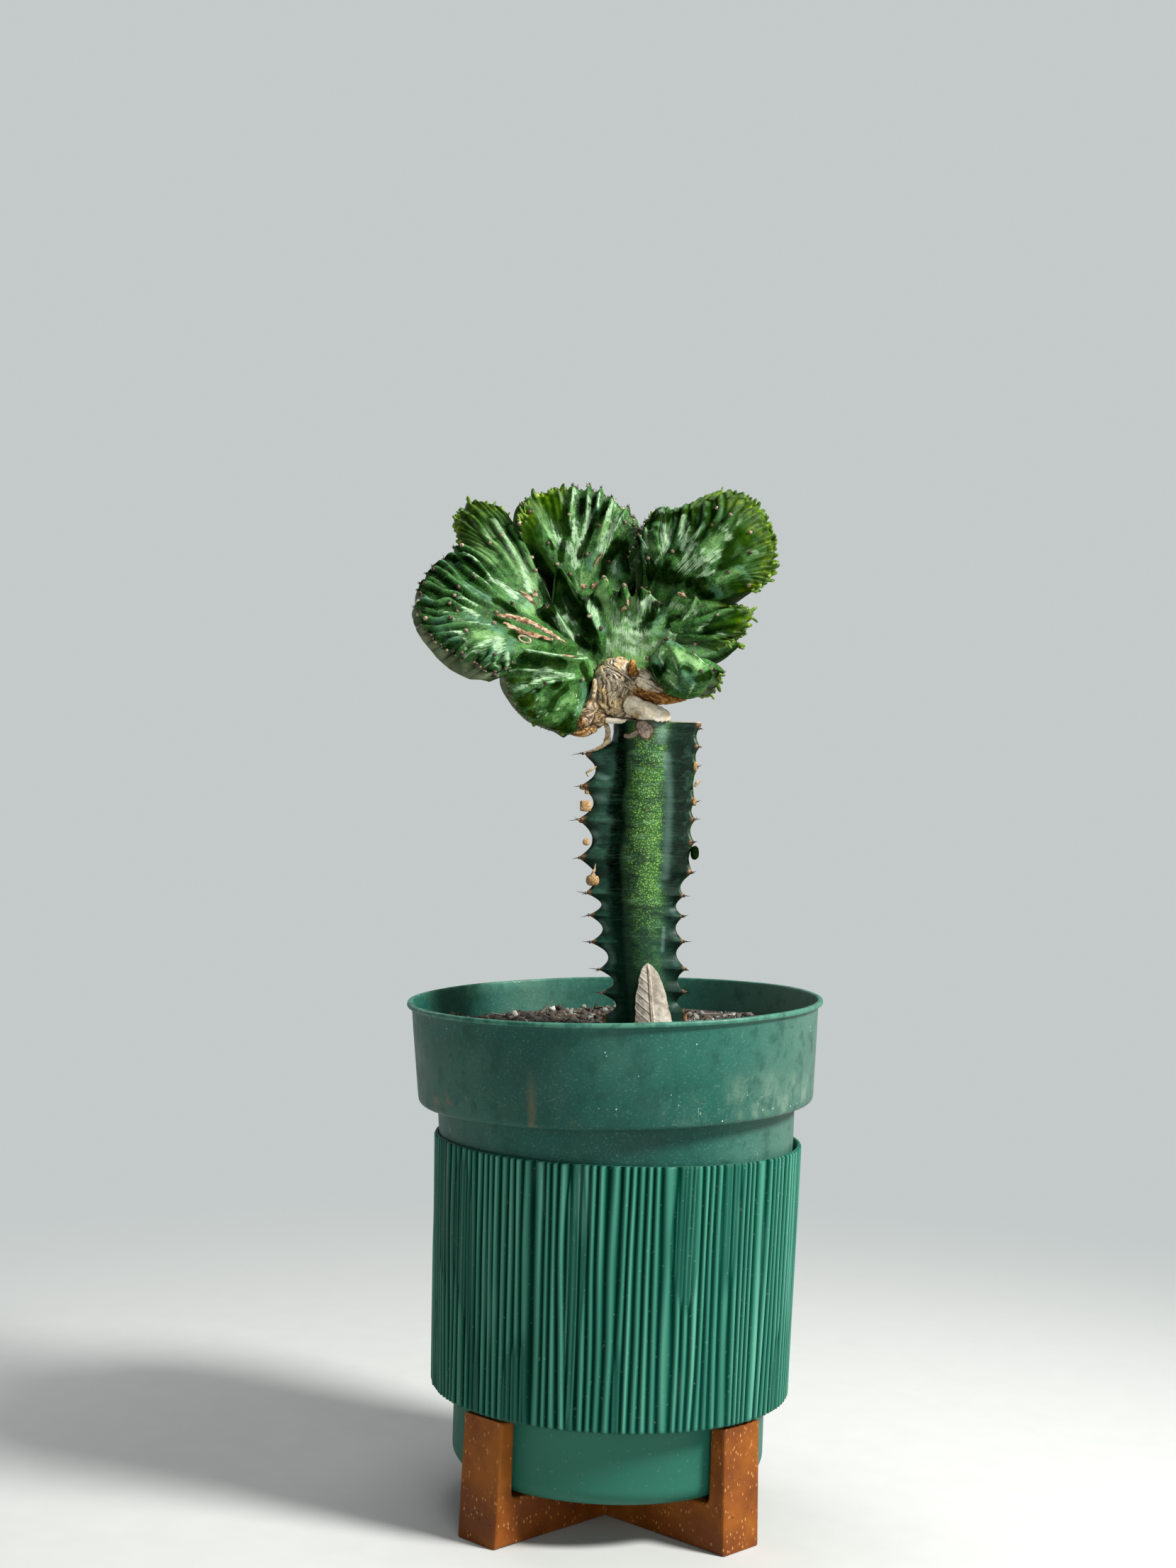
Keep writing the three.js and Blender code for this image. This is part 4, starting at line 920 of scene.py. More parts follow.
EDGES = {
    "middle": ((2.8, 4, 2.8, 806,812, 800,806, 787,797, 780,780, 772,764, 759,748, 747,724),
        (1.2, 2.6, 2.6, 795,775, 788,740, 785,712, 787,690),
        (3.4, 3.2, 3, 808,800, 806,765, 803,735, 806,710, 813,686),
        (2.6, 2.4, 2.4, 812,795, 817,765, 825,735, 829,710, 830,690),
        (2.8, 2.6, 2.6, 816,800, 829,768, 839,740, 843,717, 847,696),
        (3, 2.8, 2.6, 822,803, 838,773, 849,748, 856,725, 867,702),
        (2.8, 2.6, 2.4, 830,805, 851,773, 866,750, 877,732, 890,719),
        (2.2, 2, 2, 845,800, 862,778, 878,764, 890,757)),
    "front": ((8, 14, 4, 851,925, 849,903, 845,884, 837,860, 828,838, 814,813, 800,804, 787,797),
        (5, 10, 3.4, 818,915, 804,900, 792,885, 782,868, 768,852), (3, 3, 4, 832,856, 841,832, 853,808),
        (3.2, 3.2, 3, 895,876, 888,853, 884,836, 879,821), (2.2, 2.4, 3, 907,868, 903,846, 905,828),
        (5, 4.6, 5.5, 915,905, 921,875, 930,853, 945,838, 960,828), (2.6, 3, 2, 955,885, 970,862, 981,842),
        (2, 3, 3, 965,903, 985,886, 1002,874)),
    "lower": ((3.4, 2.2, 3.4, 838,920, 805,922, 782,914, 748,910, 730,913, 719,926),
        (2.6, 2.6, 2.6, 828,949, 795,951, 765,946, 738,945, 714,944),
        (2.4, 2.4, 3.4, 840,956, 815,958, 790,961, 762,966, 735,978, 716,990)),
    "knuckle": ((1.8, 3, 3, 958,975, 961,950, 955,925, 941,902), (1.2, 2.6, 2.6, 965,975, 985,950, 1004,940),
        (1.2, 2.6, 2.6, 935,955, 925,935, 912,929)),
}
PALE = {
    "left": ((7, 735,790, 742,812, 746,832), (5, 712,757, 725,785), (5, 700,738, 710,757),
        (4, 683,748, 692,757), (3, 664,735, 672,745), (7, 700,820, 712,829, 724,840), (4, 688,812, 697,822),
        (6, 690,903, 676,918), (8, 703,903, 704,914), (2.5, 640,876, 662,879, 690,880), (4, 655,862, 672,868),
        (3, 655,900, 660,925), (3, 700,940, 705,950), (3, 690,938, 684,948), (4, 712,925, 713,940),
        (3, 635,889, 650,893), (2.5, 605,842, 615,850), (2.5, 612,862, 630,865), (2.5, 660,785, 672,795),
        (2, 668,815, 690,830), (2, 655,832, 675,842), (2, 645,845, 670,857)),
    "middle": ((6, 785,738, 787,752), (5, 783,757, 797,772), (6, 800,770, 808,785, 811,795),
        (4, 787,693, 796,708), (3.5, 811,693, 808,712), (5, 810,735, 812,760),
        (7, 829,735, 822,755, 815,778, 812,793), (4, 830,705, 829,725), (4, 866,708, 857,730),
        (6, 876,731, 862,747, 853,766, 849,776), (3, 846,702, 843,715), (4, 867,795, 866,806)),
    "right": ((3.5, 914,748, 913,772), (6, 932,728, 935,752, 937,775), (4, 943,745, 944,757, 941,768),
        (5, 966,727, 965,752, 963,775), (4, 988,749, 975,758, 968,764), (3, 973,738, 972,748),
        (6, 967,786, 973,778, 978,768), (8, 966,800, 970,794), (7, 986,792, 1000,787, 1011,780),
        (4, 981,776, 977,788), (4, 993,775, 990,785), (5, 997,806, 994,810), (6, 1020,745, 1028,760),
        (3, 1044,725, 1041,738), (3, 1058,779, 1068,778), (2, 925,793, 933,779), (2.5, 893,778, 896,797),
        (3, 983,815, 1005,808)),
    "front": ((6, 862,912, 885,900, 915,912, 945,905), (4, 812,822, 836,850, 846,880), (4, 870,862, 868,880),
        (5, 870,890, 900,893), (6, 880,915, 900,920), (5, 779,866, 792,886, 805,897), (3.5, 815,899, 806,900),
        (7, 795,848, 806,858), (5, 800,868, 808,880), (3, 790,862, 798,875),
        (4, 864,873, 872,880, 884,873, 893,879, 903,874), (5, 888,866, 891,875),
        (9, 904,852, 916,846, 930,838), (4, 904,860, 904,866), (5, 948,850, 957,855), (5, 943,884, 948,894),
        (7, 958,880, 972,874), (9, 965,893, 975,900), (6, 982,893, 986,900), (7, 898,902, 912,893),
        (4, 893,908, 906,906), (3, 975,852, 980,866), (4, 862,845, 868,853), (3, 858,905, 860,925)),
    "lower": ((2.5, 716,930, 722,918, 732,914, 760,917, 790,922, 812,929, 828,921),
        (3.5, 752,950, 768,948, 778,944), (2, 718,945, 745,945, 775,943), (3, 725,974, 745,966, 768,956),
        (4, 765,955, 790,952, 808,953), (1.4, 757,984, 752,1003), (1.4, 766,996, 758,1011),
        (1.2, 783,989, 770,1010), (1.2, 805,978, 786,1001), (1.6, 813,980, 816,992, 811,1008),
        (2, 735,984, 752,975, 768,963, 790,961)),
    "knuckle": ((1.6, 948,925, 954,935, 956,945), (1.8, 940,915, 930,925), (2, 975,915, 990,930, 1002,938),
        (1.8, 945,960, 956,970), (2, 978,965, 973,978), (1.4, 930,925, 940,945, 955,955)),
    "side": ((3, 1015,893, 1025,898), (2, 985,888, 1003,874)),
}
# painted sheen: lines of bluish highlight on the fans
SHEEN_LINES = {
    "left": ((10, 735,845, 722,840), (8, 660,870, 690,882, 705,890), (7, 645,800, 630,795),
        (5, 612,850, 600,846), (6, 655,830, 690,850), (8, 720,905, 714,925), (10, 690,925, 700,915),
        (6, 625,877, 615,880), (6, 640,890, 620,893), (6, 740,855, 750,852), (5, 630,903, 650,900)),
    "middle": ((6, 833,785, 832,800), (5, 846,770, 842,780), (7, 866,795, 872,808), (4, 843,712, 842,722),
        (4, 880,726, 872,735), (4, 875,800, 880,790)),
    "right": ((6, 897,755, 903,775), (4, 902,740, 906,748), (6, 1043,798, 1052,808, 1058,821),
        (6, 1008,832, 1017,847), (4, 1016,722, 1017,735), (4, 995,716, 999,728, 993,745),
        (6, 960,765, 966,775), (4, 932,725, 934,735)),
    "front": ((6, 925,880, 935,862), (8, 975,885, 968,900), (5, 985,887, 1003,875), (4, 845,870, 852,890),
        (5, 918,893, 935,895)),
    "lower": ((9, 822,970, 824,985, 818,1000), (5, 722,935, 730,932), (5, 722,972, 740,968)),
    "knuckle": ((8, 922,922, 930,935), (9, 965,950, 978,960), (6, 945,905, 960,910), (5, 955,970, 965,975)),
}
# lighter green patches, partly painted light and partly the plant's own paler green
LIGHT = {
    "left": ((10, 668,752, 690,790), (10, 722,772, 736,810), (8, 690,742, 706,762, 722,790),
        (10, 745,800, 750,825), (9, 700,745, 715,775, 733,805), (6, 690,760, 700,780), (8, 675,895, 700,897),
        (10, 745,860, 757,858)),
    "middle": ((7, 757,715, 770,745, 780,765), (5, 806,715, 804,740), (6, 857,735, 845,760),
        (6, 850,770, 840,800), (8, 825,815, 815,825)),
    "right": ((8, 912,745, 920,775), (7, 955,738, 948,770), (7, 985,745, 968,775), (10, 1010,760, 1005,775),
        (6, 950,785, 955,792), (6, 925,755, 928,770), (8, 1020,815, 1040,810)),
    "front": ((14, 880,928, 930,915), (10, 915,905, 960,895), (20, 862,905, 885,895, 905,905),
        (14, 850,848, 860,878), (12, 900,880, 930,900), (12, 820,925, 850,935),
        (8, 830,830, 842,855, 846,875), (9, 850,820, 845,840, 858,870), (7, 886,825, 892,855),
        (7, 955,838, 945,855), (9, 935,870, 925,890), (7, 960,862, 970,866), (10, 862,900, 870,925),
        (6, 783,862, 790,878), (4, 979,848, 982,860)),
    "lower": ((7, 770,970, 762,985), (6, 795,1008, 785,1018), (6, 835,935, 842,945), (5, 720,952, 740,953),
        (7, 795,990, 808,985)),
    "knuckle": ((9, 950,922, 985,942), (7, 935,915, 920,930), (6, 960,925, 985,935), (6, 940,955, 950,960)),
}
# painted shadow: lines of near-black where the fans' folds and gaps lie in shade
SHADOW_LINES = {
    "left": ((6, 768,862, 780,885), (7, 700,850, 725,860), (5, 745,894, 775,905), (5, 700,872, 715,880),
        (4, 640,790, 665,808), (4, 655,790, 680,812), (4, 615,815, 640,832), (5, 722,893, 730,897),
        (4, 757,852, 765,868)),
    "middle": ((12, 762,788, 780,806, 800,820), (12, 738,728, 750,760, 765,785),
        (12, 768,700, 785,725, 795,745), (3, 800,720, 799,745), (4, 822,703, 822,722),
        (4.5, 845,725, 836,745, 826,765, 818,785), (4, 838,703, 838,712), (4, 855,708, 850,725),
        (5, 795,765, 790,790), (8, 868,770, 855,790), (8, 880,770, 885,800), (14, 745,775, 765,800, 790,828),
        (5, 850,790, 850,815), (4, 765,745, 778,775)),
    "right": ((7, 898,740, 915,736, 940,732), (6, 950,727, 980,722), (5, 1003,722, 1005,732),
        (4, 922,745, 925,765), (5, 952,735, 952,755, 945,775), (5, 975,728, 980,742),
        (5, 1003,743, 990,757, 972,770), (8, 955,780, 945,795), (9, 905,790, 915,812), (10, 925,810, 955,815),
        (10, 1045,755, 1052,760), (8, 1030,770, 1025,785), (9, 1035,822, 1055,832), (7, 985,830, 1000,840),
        (7, 1020,800, 1040,792), (7, 975,820, 990,822), (4, 890,770, 890,795), (6, 1000,735, 1005,750)),
    "front": ((12, 768,800, 782,820, 792,842), (14, 785,808, 798,835, 812,862), (9, 776,838, 790,862),
        (16, 815,830, 828,860, 838,895), (9, 800,825, 812,850), (10, 775,850, 785,865), (6, 765,862, 778,885),
        (9, 874,828, 874,834), (7, 925,862, 912,875, 905,888), (9, 840,905, 838,925), (4, 925,850, 940,838),
        (6, 950,870, 960,868), (8, 815,905, 830,915), (5, 900,828, 905,840), (5, 945,875, 942,885)),
    "lower": ((4.5, 722,924, 745,922, 770,927, 795,934), (3, 722,941, 755,941), (6, 722,958, 745,957),
        (8, 738,990, 750,985), (6, 760,975, 785,967), (5, 775,1000, 785,985, 800,970),
        (7, 798,1022, 800,1030), (4, 748,1005, 752,1010), (9, 740,932, 790,935), (10, 800,1015, 790,1028),
        (7, 822,940, 835,975)),
    "knuckle": ((6, 930,950, 938,945), (6, 985,955, 1000,950), (5, 965,940, 975,945), (8, 925,945, 920,938)),
    "side": ((8, 1000,890, 1015,880), (8, 1030,885, 1040,870)),
}
CORK = {
    "left": ((4.6, 702,868, 724,872, 745,878, 768,889, 798,907), (4, 710,880, 730,888, 752,896, 778,903),
        (3, 736,837, 745,843, 754,852), (2, 755,834, 756,841)),
    "lower": ((2.2, 792,917, 802,920, 812,923),),
    "middle": ((1.6, 850,780, 845,788, 839,796), (3, 819,825, 828,829), (3, 835,829, 842,823)),
    "front": ((3.4, 886,842, 886,851), (3, 884,853, 876,861), (2.6, 868,812, 860,812),
        (2.5, 955,825, 963,830, 970,840)),
}
BUMPS = {
    "left": (668,815, 647,827, 642,842, 634,850, 636,873, 657,890, 699,865, 723,852, 697,879, 691,767,
        706,755, 743,797, 754,786, 755,806, 752,840, 602,860, 590,848, 600,873, 612,899, 646,862, 698,924,
        652,920, 670,936, 675,948, 690,957, 713,945, 652,770, 612,803, 600,824, 592,838),
    "middle": (803,725, 845,741, 882,738, 828,782, 773,766, 786,797, 804,812, 859,794, 747,724),
    "right": (1003,743, 1030,728, 1058,752, 1057,780, 1030,807, 1055,826, 948,778, 902,791, 1011,717, 909,827,
        895,828),
    "front": (848,887, 768,852, 853,807, 879,821, 831,869, 960,829, 940,902),
    "lower": (714,944, 770,963, 822,958, 722,934),
    "knuckle": (911,930, 989,947, 1008,942),
    "side": (980,910, 1010,868),
}
# three ellipsoids painted near-black as shade that fill the gaps between the fans: middle and half sizes in
# mm
SHADE_FILLERS = (((-14, 9, 355.5), (22, 15, 17)), ((-34, 13, 371), (10, 7, 15)), ((-1, 17, 374), (9, 6, 15)))
LEAF_RING = (740, 902)  # image place of a pale ring left where a leaf fell off
GRAIN = ("grain_x", "grain_y", "grain_z")


def ridge(t, sharp):
    """Height of ribs from 0 to 1: |sin(pi t)|^0.6, round backs between narrow folds, blended by `sharp`
    towards (1 - |cos(pi t)|)^0.8, sharp edges between wide hollows."""
    s, c = np.abs(np.sin(np.pi * t)), np.abs(np.cos(np.pi * t))
    return (1 - sharp) * s ** 0.6 + sharp * (1 - c) ** 0.8


def running(rows, window):
    """Running totals of rows that are held for `window` more at both ends."""
    padded = np.concatenate([np.repeat(rows[:1], window, 0), rows, np.repeat(rows[-1:], window, 0)])
    return np.cumsum(np.concatenate([np.zeros_like(padded[:1]), padded]), 0)


def facing(middle, window, held):
    """Unit vectors square to a grid of points, evened out along the rim over 2 * window + 1 columns, and the
    same for all rows before row `held`."""
    total = running(unit(np.cross(*np.gradient(middle, axis=(0, 1)))), window)
    across = unit(total[2 * window + 1:] - total[:-2 * window - 1])
    across[:, :held] = across[:, held:held + 1]
    return across


def even(rows, window):
    """A running mean of rows of points over 2 * window + 1 of them, with the ends held."""
    total = running(rows, window)
    return (total[2 * window + 1:] - total[:-2 * window - 1]) / (2 * window + 1)


def beside(surface, path, reach, out_of=None):
    """Where a surface lies within `reach` of a line seen through image places, and there the distance to it,
    the share of the way along it, and +1 or -1 for its left or right side as seen from the side of out_of."""
    knots = np.array([surface.reshape(-1, 3)[seen_at(surface, x, y)] for x, y in np.reshape(path, (-1, 2))])
    line = spline(knots, np.linspace(0, 1, 12 * len(knots)))
    inside = ((surface > line.min(0) - reach) & (surface < line.max(0) + reach)).all(-1)
    away = surface[inside][:, None] - line[None]
    squares = (away ** 2).sum(-1)
    k = squares.argmin(1)
    here = away[np.arange(len(k)), k]
    side = 1.0
    if out_of is not None:
        side = np.sign((np.cross(np.gradient(line, axis=0)[k], here) * out_of[inside]).sum(-1))
    return inside, np.sqrt(squares[np.arange(len(k)), k]), k / (len(line) - 1), side


def seen_relief(f, surface, out_of):
    """The ribs and edges that the front view shows: h (1 - (d / w)^2)^0.8 for a rib and h (1 - d / w)^1.6 for
    an edge, risen over the first half of the line. Gives the height, how far a point is on a rib, and how
    near to one it is without being on it, which the look paints as shade."""
    height = np.zeros(surface.shape[:2])
    on, by = np.zeros_like(height), np.zeros_like(height)
    for tall, wide, *path in RIBS.get(f["name"], ()):
        inside, d, share, _ = beside(surface, path, 2.4 * wide)
        rise = step(share, 0.0, 0.55)
        top = np.clip(1 - (d / wide) ** 2, 0, 1) ** 0.8
        height[inside] = np.maximum(height[inside], 1.15 * tall * top * rise)
        on[inside] = np.maximum(on[inside], top * rise)
        by[inside] = np.maximum(by[inside], step(2.3 - d / wide, 0.0, 1.2) * rise * min(1, tall / 1.6))
    for tall, left, right, *path in EDGES.get(f["name"], ()):
        inside, d, share, side = beside(surface, path, 1.2 * max(left, right), out_of)
        wide = np.where(side > 0, left, right)
        top = np.clip(1 - d / wide, 0, 1) ** 1.6 * step(share, *f.get("rise", (-0.1, 0.55)))
        height[inside] = np.maximum(height[inside], tall * top)
        on[inside] = np.maximum(on[inside], top)
    return height, on, np.clip(by - on, 0, 1)


def seen_patches(lines, surface, taper=0.0):
    """The patches of a colour that the front view shows: 1 on their lines, 0.5 at their half widths, 0 at
    twice them. The half width narrows by the share `taper` towards both ends."""
    field = np.zeros(surface.shape[:-1])
    for pixels, *path in lines:
        wide = pixels * PIXEL
        inside, d, share, _ = beside(surface, path, 2.1 * wide)
        wide = wide * (1 - taper * (1 - np.sin(np.pi * share) ** 0.6))
        field[inside] = np.maximum(field[inside], np.clip(1 - 0.5 * d / wide, 0, 1))
    return field


def fan(f, number):
    """A ribbed fan. Its middle surface is the hub curve led to the rim curve, C(u, v) = hub(u) (1 - v) +
    rim(u) v + N (bow 4 v (1 - v) + ruffle v^2 sin(2 pi waves u)). The faces stand off it by the half
    thickness and by the ribs: those that the front view shows, or else broad ones near the hub that split
    into fine ones towards the rim. Arrays have a column of points for each u and a row for each v."""
    name, seed = f["name"], 100 + 10 * number
    shown, lapped = name in EDGES or name in RIBS, "lap" in f
    # millimetres from column to column, and rows
    spacing, rows = (0.5, 54) if shown else (0.8, 44)
    length = np.linalg.norm(np.diff(spline(f["rim"], np.linspace(0, 1, 300)), axis=0), axis=1).sum()
    columns = int(length / spacing)
    u = np.linspace(0, 1, columns)[:, None]
    v = 1 - (1 - np.linspace(0, 1, rows)) ** 1.25
    share = v[:, None]
    # the middle surface
    hub, rim = spline(f["hub"], u), spline(f["rim"], u)
    middle = hub * (1 - share) + rim * share
    if "web" in f:
        late = step(share, *f["web"])
        middle = (hub * (1 - share) + even(rim, int(columns * 0.11)) * share) * (1 - late) + middle * late
    window = max(2, int(round(1.2 * columns / f["ribs"])))
    held = int(np.argmax(v >= 0.5))
    swing, waves, phase = f["ruffle"]
    lift = f["bow"] * 4 * v * (1 - v) + swing * v ** 2 * np.sin(2 * np.pi * waves * u + phase)
    middle = middle + facing(middle, window, held) * lift[..., None]
    out_of = facing(middle, window, held)
    # ribs by rule, for the back and for the fans that the front view doesn't show
    flat = np.stack(np.broadcast_arrays(u * f["ribs"] * 0.55, v * 3.2, number * 7.0), -1)
    wander = (1.3 * noise(flat, 2.6, seed) + 0.5 * noise(flat, 1.2, seed + 1)) * (0.25 + 0.75 * (1 - v))
    rib_turns = u * f["ribs"] + wander
    broad, fine = ridge(rib_turns / 2, 0.5), ridge(rib_turns, 0.3)
    many = step(v + 0.12 * noise(flat, 2.0, seed + 5), 0.55, 0.85)
    grown = np.clip((broad * (1 - many) + fine * many) * (0.80 + 0.35 * noise(flat, 1.8, seed + 2)), 0, 1.1)
    # how thick the fan is, and how it closes at the rim and at both ends
    closing = np.sqrt(1 - (np.clip(v - 0.8, 0, 1) / 0.2) ** 2)
    half = np.interp(v, (0, 0.5, 1), f["thick"]) * closing
    belly = f["belly"] * np.sin(np.pi * v ** 1.5)
    to_end = np.minimum(u, 1 - u)
    side = 0.25 + 0.75 * smooth(to_end / 0.06)
    young = table(f["young"], u)
    out = unit(rim - hub)
    surface = middle + out_of * (half * side)[..., None]
    rise = smooth((v - 0.15) / 0.4)
    swollen = f["lap"][0] * (1 - smooth(u / f["lap"][1])) if lapped else np.zeros_like(u)
    ribs_back = f["groove"] * (grown - 0.7) * rise * (0.35 + 0.65 * closing)
    ribs_back = ribs_back * (1 - 0.85 * smooth(swollen / 2))
    # painted shade between the ribs of the back
    folds = np.clip(1 - 1.5 * grown, 0, 1) * rise
    on_rim = ridge(rib_turns[:, -1], 0.3)
    if shown:
        height, on, fold_shade = seen_relief(f, surface, out_of)
        height = height * (0.45 + 0.55 * closing)
        last = int(rows * 0.8)
        seen = step(on[:, last:].max(1) + fold_shade[:, last:].max(1), 0.05, 0.3)
        on_rim = on[:, int(rows * 0.9)] * seen + on_rim * 0.5 * (1 - seen)
        # painted shade in hollows: how far the evened relief stands above a point
        hollow = even(even(height.T, rows // 14).T, columns // 45) - height
        fold_shade = np.maximum(fold_shade, np.clip(hollow - 0.12, 0, 1))
    else:
        height, on, fold_shade = ribs_back, grown, folds
    # teeth and waves of the rim
    arc = u * length
    line = np.stack([arc, 0 * arc, 0 * arc + number], -1)
    scallop = np.sin(2 * np.pi * arc / 2.3 + 2.2 * noise(line, 5.0, seed + 6))
    reach = f["tooth"] * (on_rim[:, None] - 0.4) * (1 - 0.8 * young) + 0.55 * young * scallop
    middle = middle + (out * reach[..., None]) * step(share, 0.74, 1.0) ** 1.5
    uneven = (0.40 * noise(middle, 7.0, seed + 3) + 0.26 * noise(middle, 2.6, seed + 4)
            + 0.12 * noise(middle, 1.2, seed + 7))
    wave = np.sin(2 * np.pi * arc / 3.7 + 2.5 * noise(line, 7.0, seed + 8))
    curl = (0.25 + 0.85 * young * wave) * step(v, 0.84, 1.0)
    puckers = 0.55 * (young * wave) * step(v, 0.6, 0.9) * closing
    # patches of colour, among them painted sheen, painted light and painted shadow, and both faces
    cork = seen_patches(CORK.get(name, ()), surface, 0.75)
    pale, blue, light, dark = (seen_patches(marks.get(name, ()), surface)
            for marks in (PALE, SHEEN_LINES, LIGHT, SHADOW_LINES))
    lifted = 0.9 * step(cork + 0.3 * noise(surface, 1.3, seed + 11), 0.35, 0.65)
    push = (half + uneven * closing) * side + curl
    push += (height + puckers + lifted) * (0.5 + 0.5 * side)
    front = middle + out_of * push[..., None]
    behind = (middle - out_of * ((half + belly + ribs_back) * side - curl)[..., None])[:, -2::-1]
    inside = smooth(to_end / (0.03 if lapped else 0.12))
    keep, bulge, share = 0, front[:, :0], np.zeros(0)
    if lapped:
        # the underside bulges out past the rim before it goes back towards the hub
        keep = int(rows * 0.16)
        t = np.linspace(0, 1, 12)[1:-1, None]
        share = step(t[:, 0], -0.1, 0.15)
        start, joint = front[:, -1:], behind[:, keep:keep + 1]
        far = rim + out * swollen[..., None] - out_of[:, -1:] * (f["thick"][2] * 1.3 * side)[..., None]
        pull = 2 * far - 0.5 * start - 0.5 * joint
        bulge = (1 - t) ** 2 * start + 2 * t * (1 - t) * pull + t ** 2 * joint
        lump = 0.7 * noise(line, 6.0, seed + 9)
        bulge = bulge + out_of[:, -1:] * lump[..., None] * np.sin(np.pi * t)
    # what the look reads, on the front face, the underside and the back face
    # painted shade between the back ribs, and strong painted shade at both ends of the fan
    folded = folds * inside + 0.8 * (1 - inside)
    below = np.maximum(step(1 - v, 0.0, 0.12), step(swollen, 0.2, 1.0)) * inside
    fields = {}
    # among these fields the fold darkness is painted shade, the rib-top value a painted highlight, the signed
    # shade painted light and shadow, and the sheen patches painted sheen
    for key, *faces in (
        ("along", v, v), ("arc", *[arc + 100.0 * number] * 2), ("young", young, young),
        ("high", np.clip(on, 0, 1), np.clip(grown, 0, 1)), ("fold_shade", fold_shade, folded), ("under", 0, below),
        ("cork", cork, 0), ("pale", pale, 0), ("blue", blue, 0), ("shade", light - 1.3 * dark, 0),
        ("free", not shown, 1),
    ):
        before, after = (np.broadcast_to(face, grown.shape) for face in faces)
        after = after[:, -2::-1][:, keep:]
        between = before[:, -1:] * (1 - share) + after[:, :1] * share
        field = np.concatenate([before, between, after], 1)
        fields[key] = np.append(field, field[[0, -1], 0])
    grid = np.concatenate([front, bulge, behind[:, keep:]], 1)
    points, faces = closed(grid, grid[0].mean(0), grid[-1].mean(0))
    skin = Named(front=front, out_of=out_of, v=v, arc=arc[:, 0], out=out[:, 0], young=young[:, 0],
            horn=table(f["horn"], u)[:, 0], on=on_rim, turns=rib_turns)
    return points, [face[:, ::-1] for face in faces], fields, skin


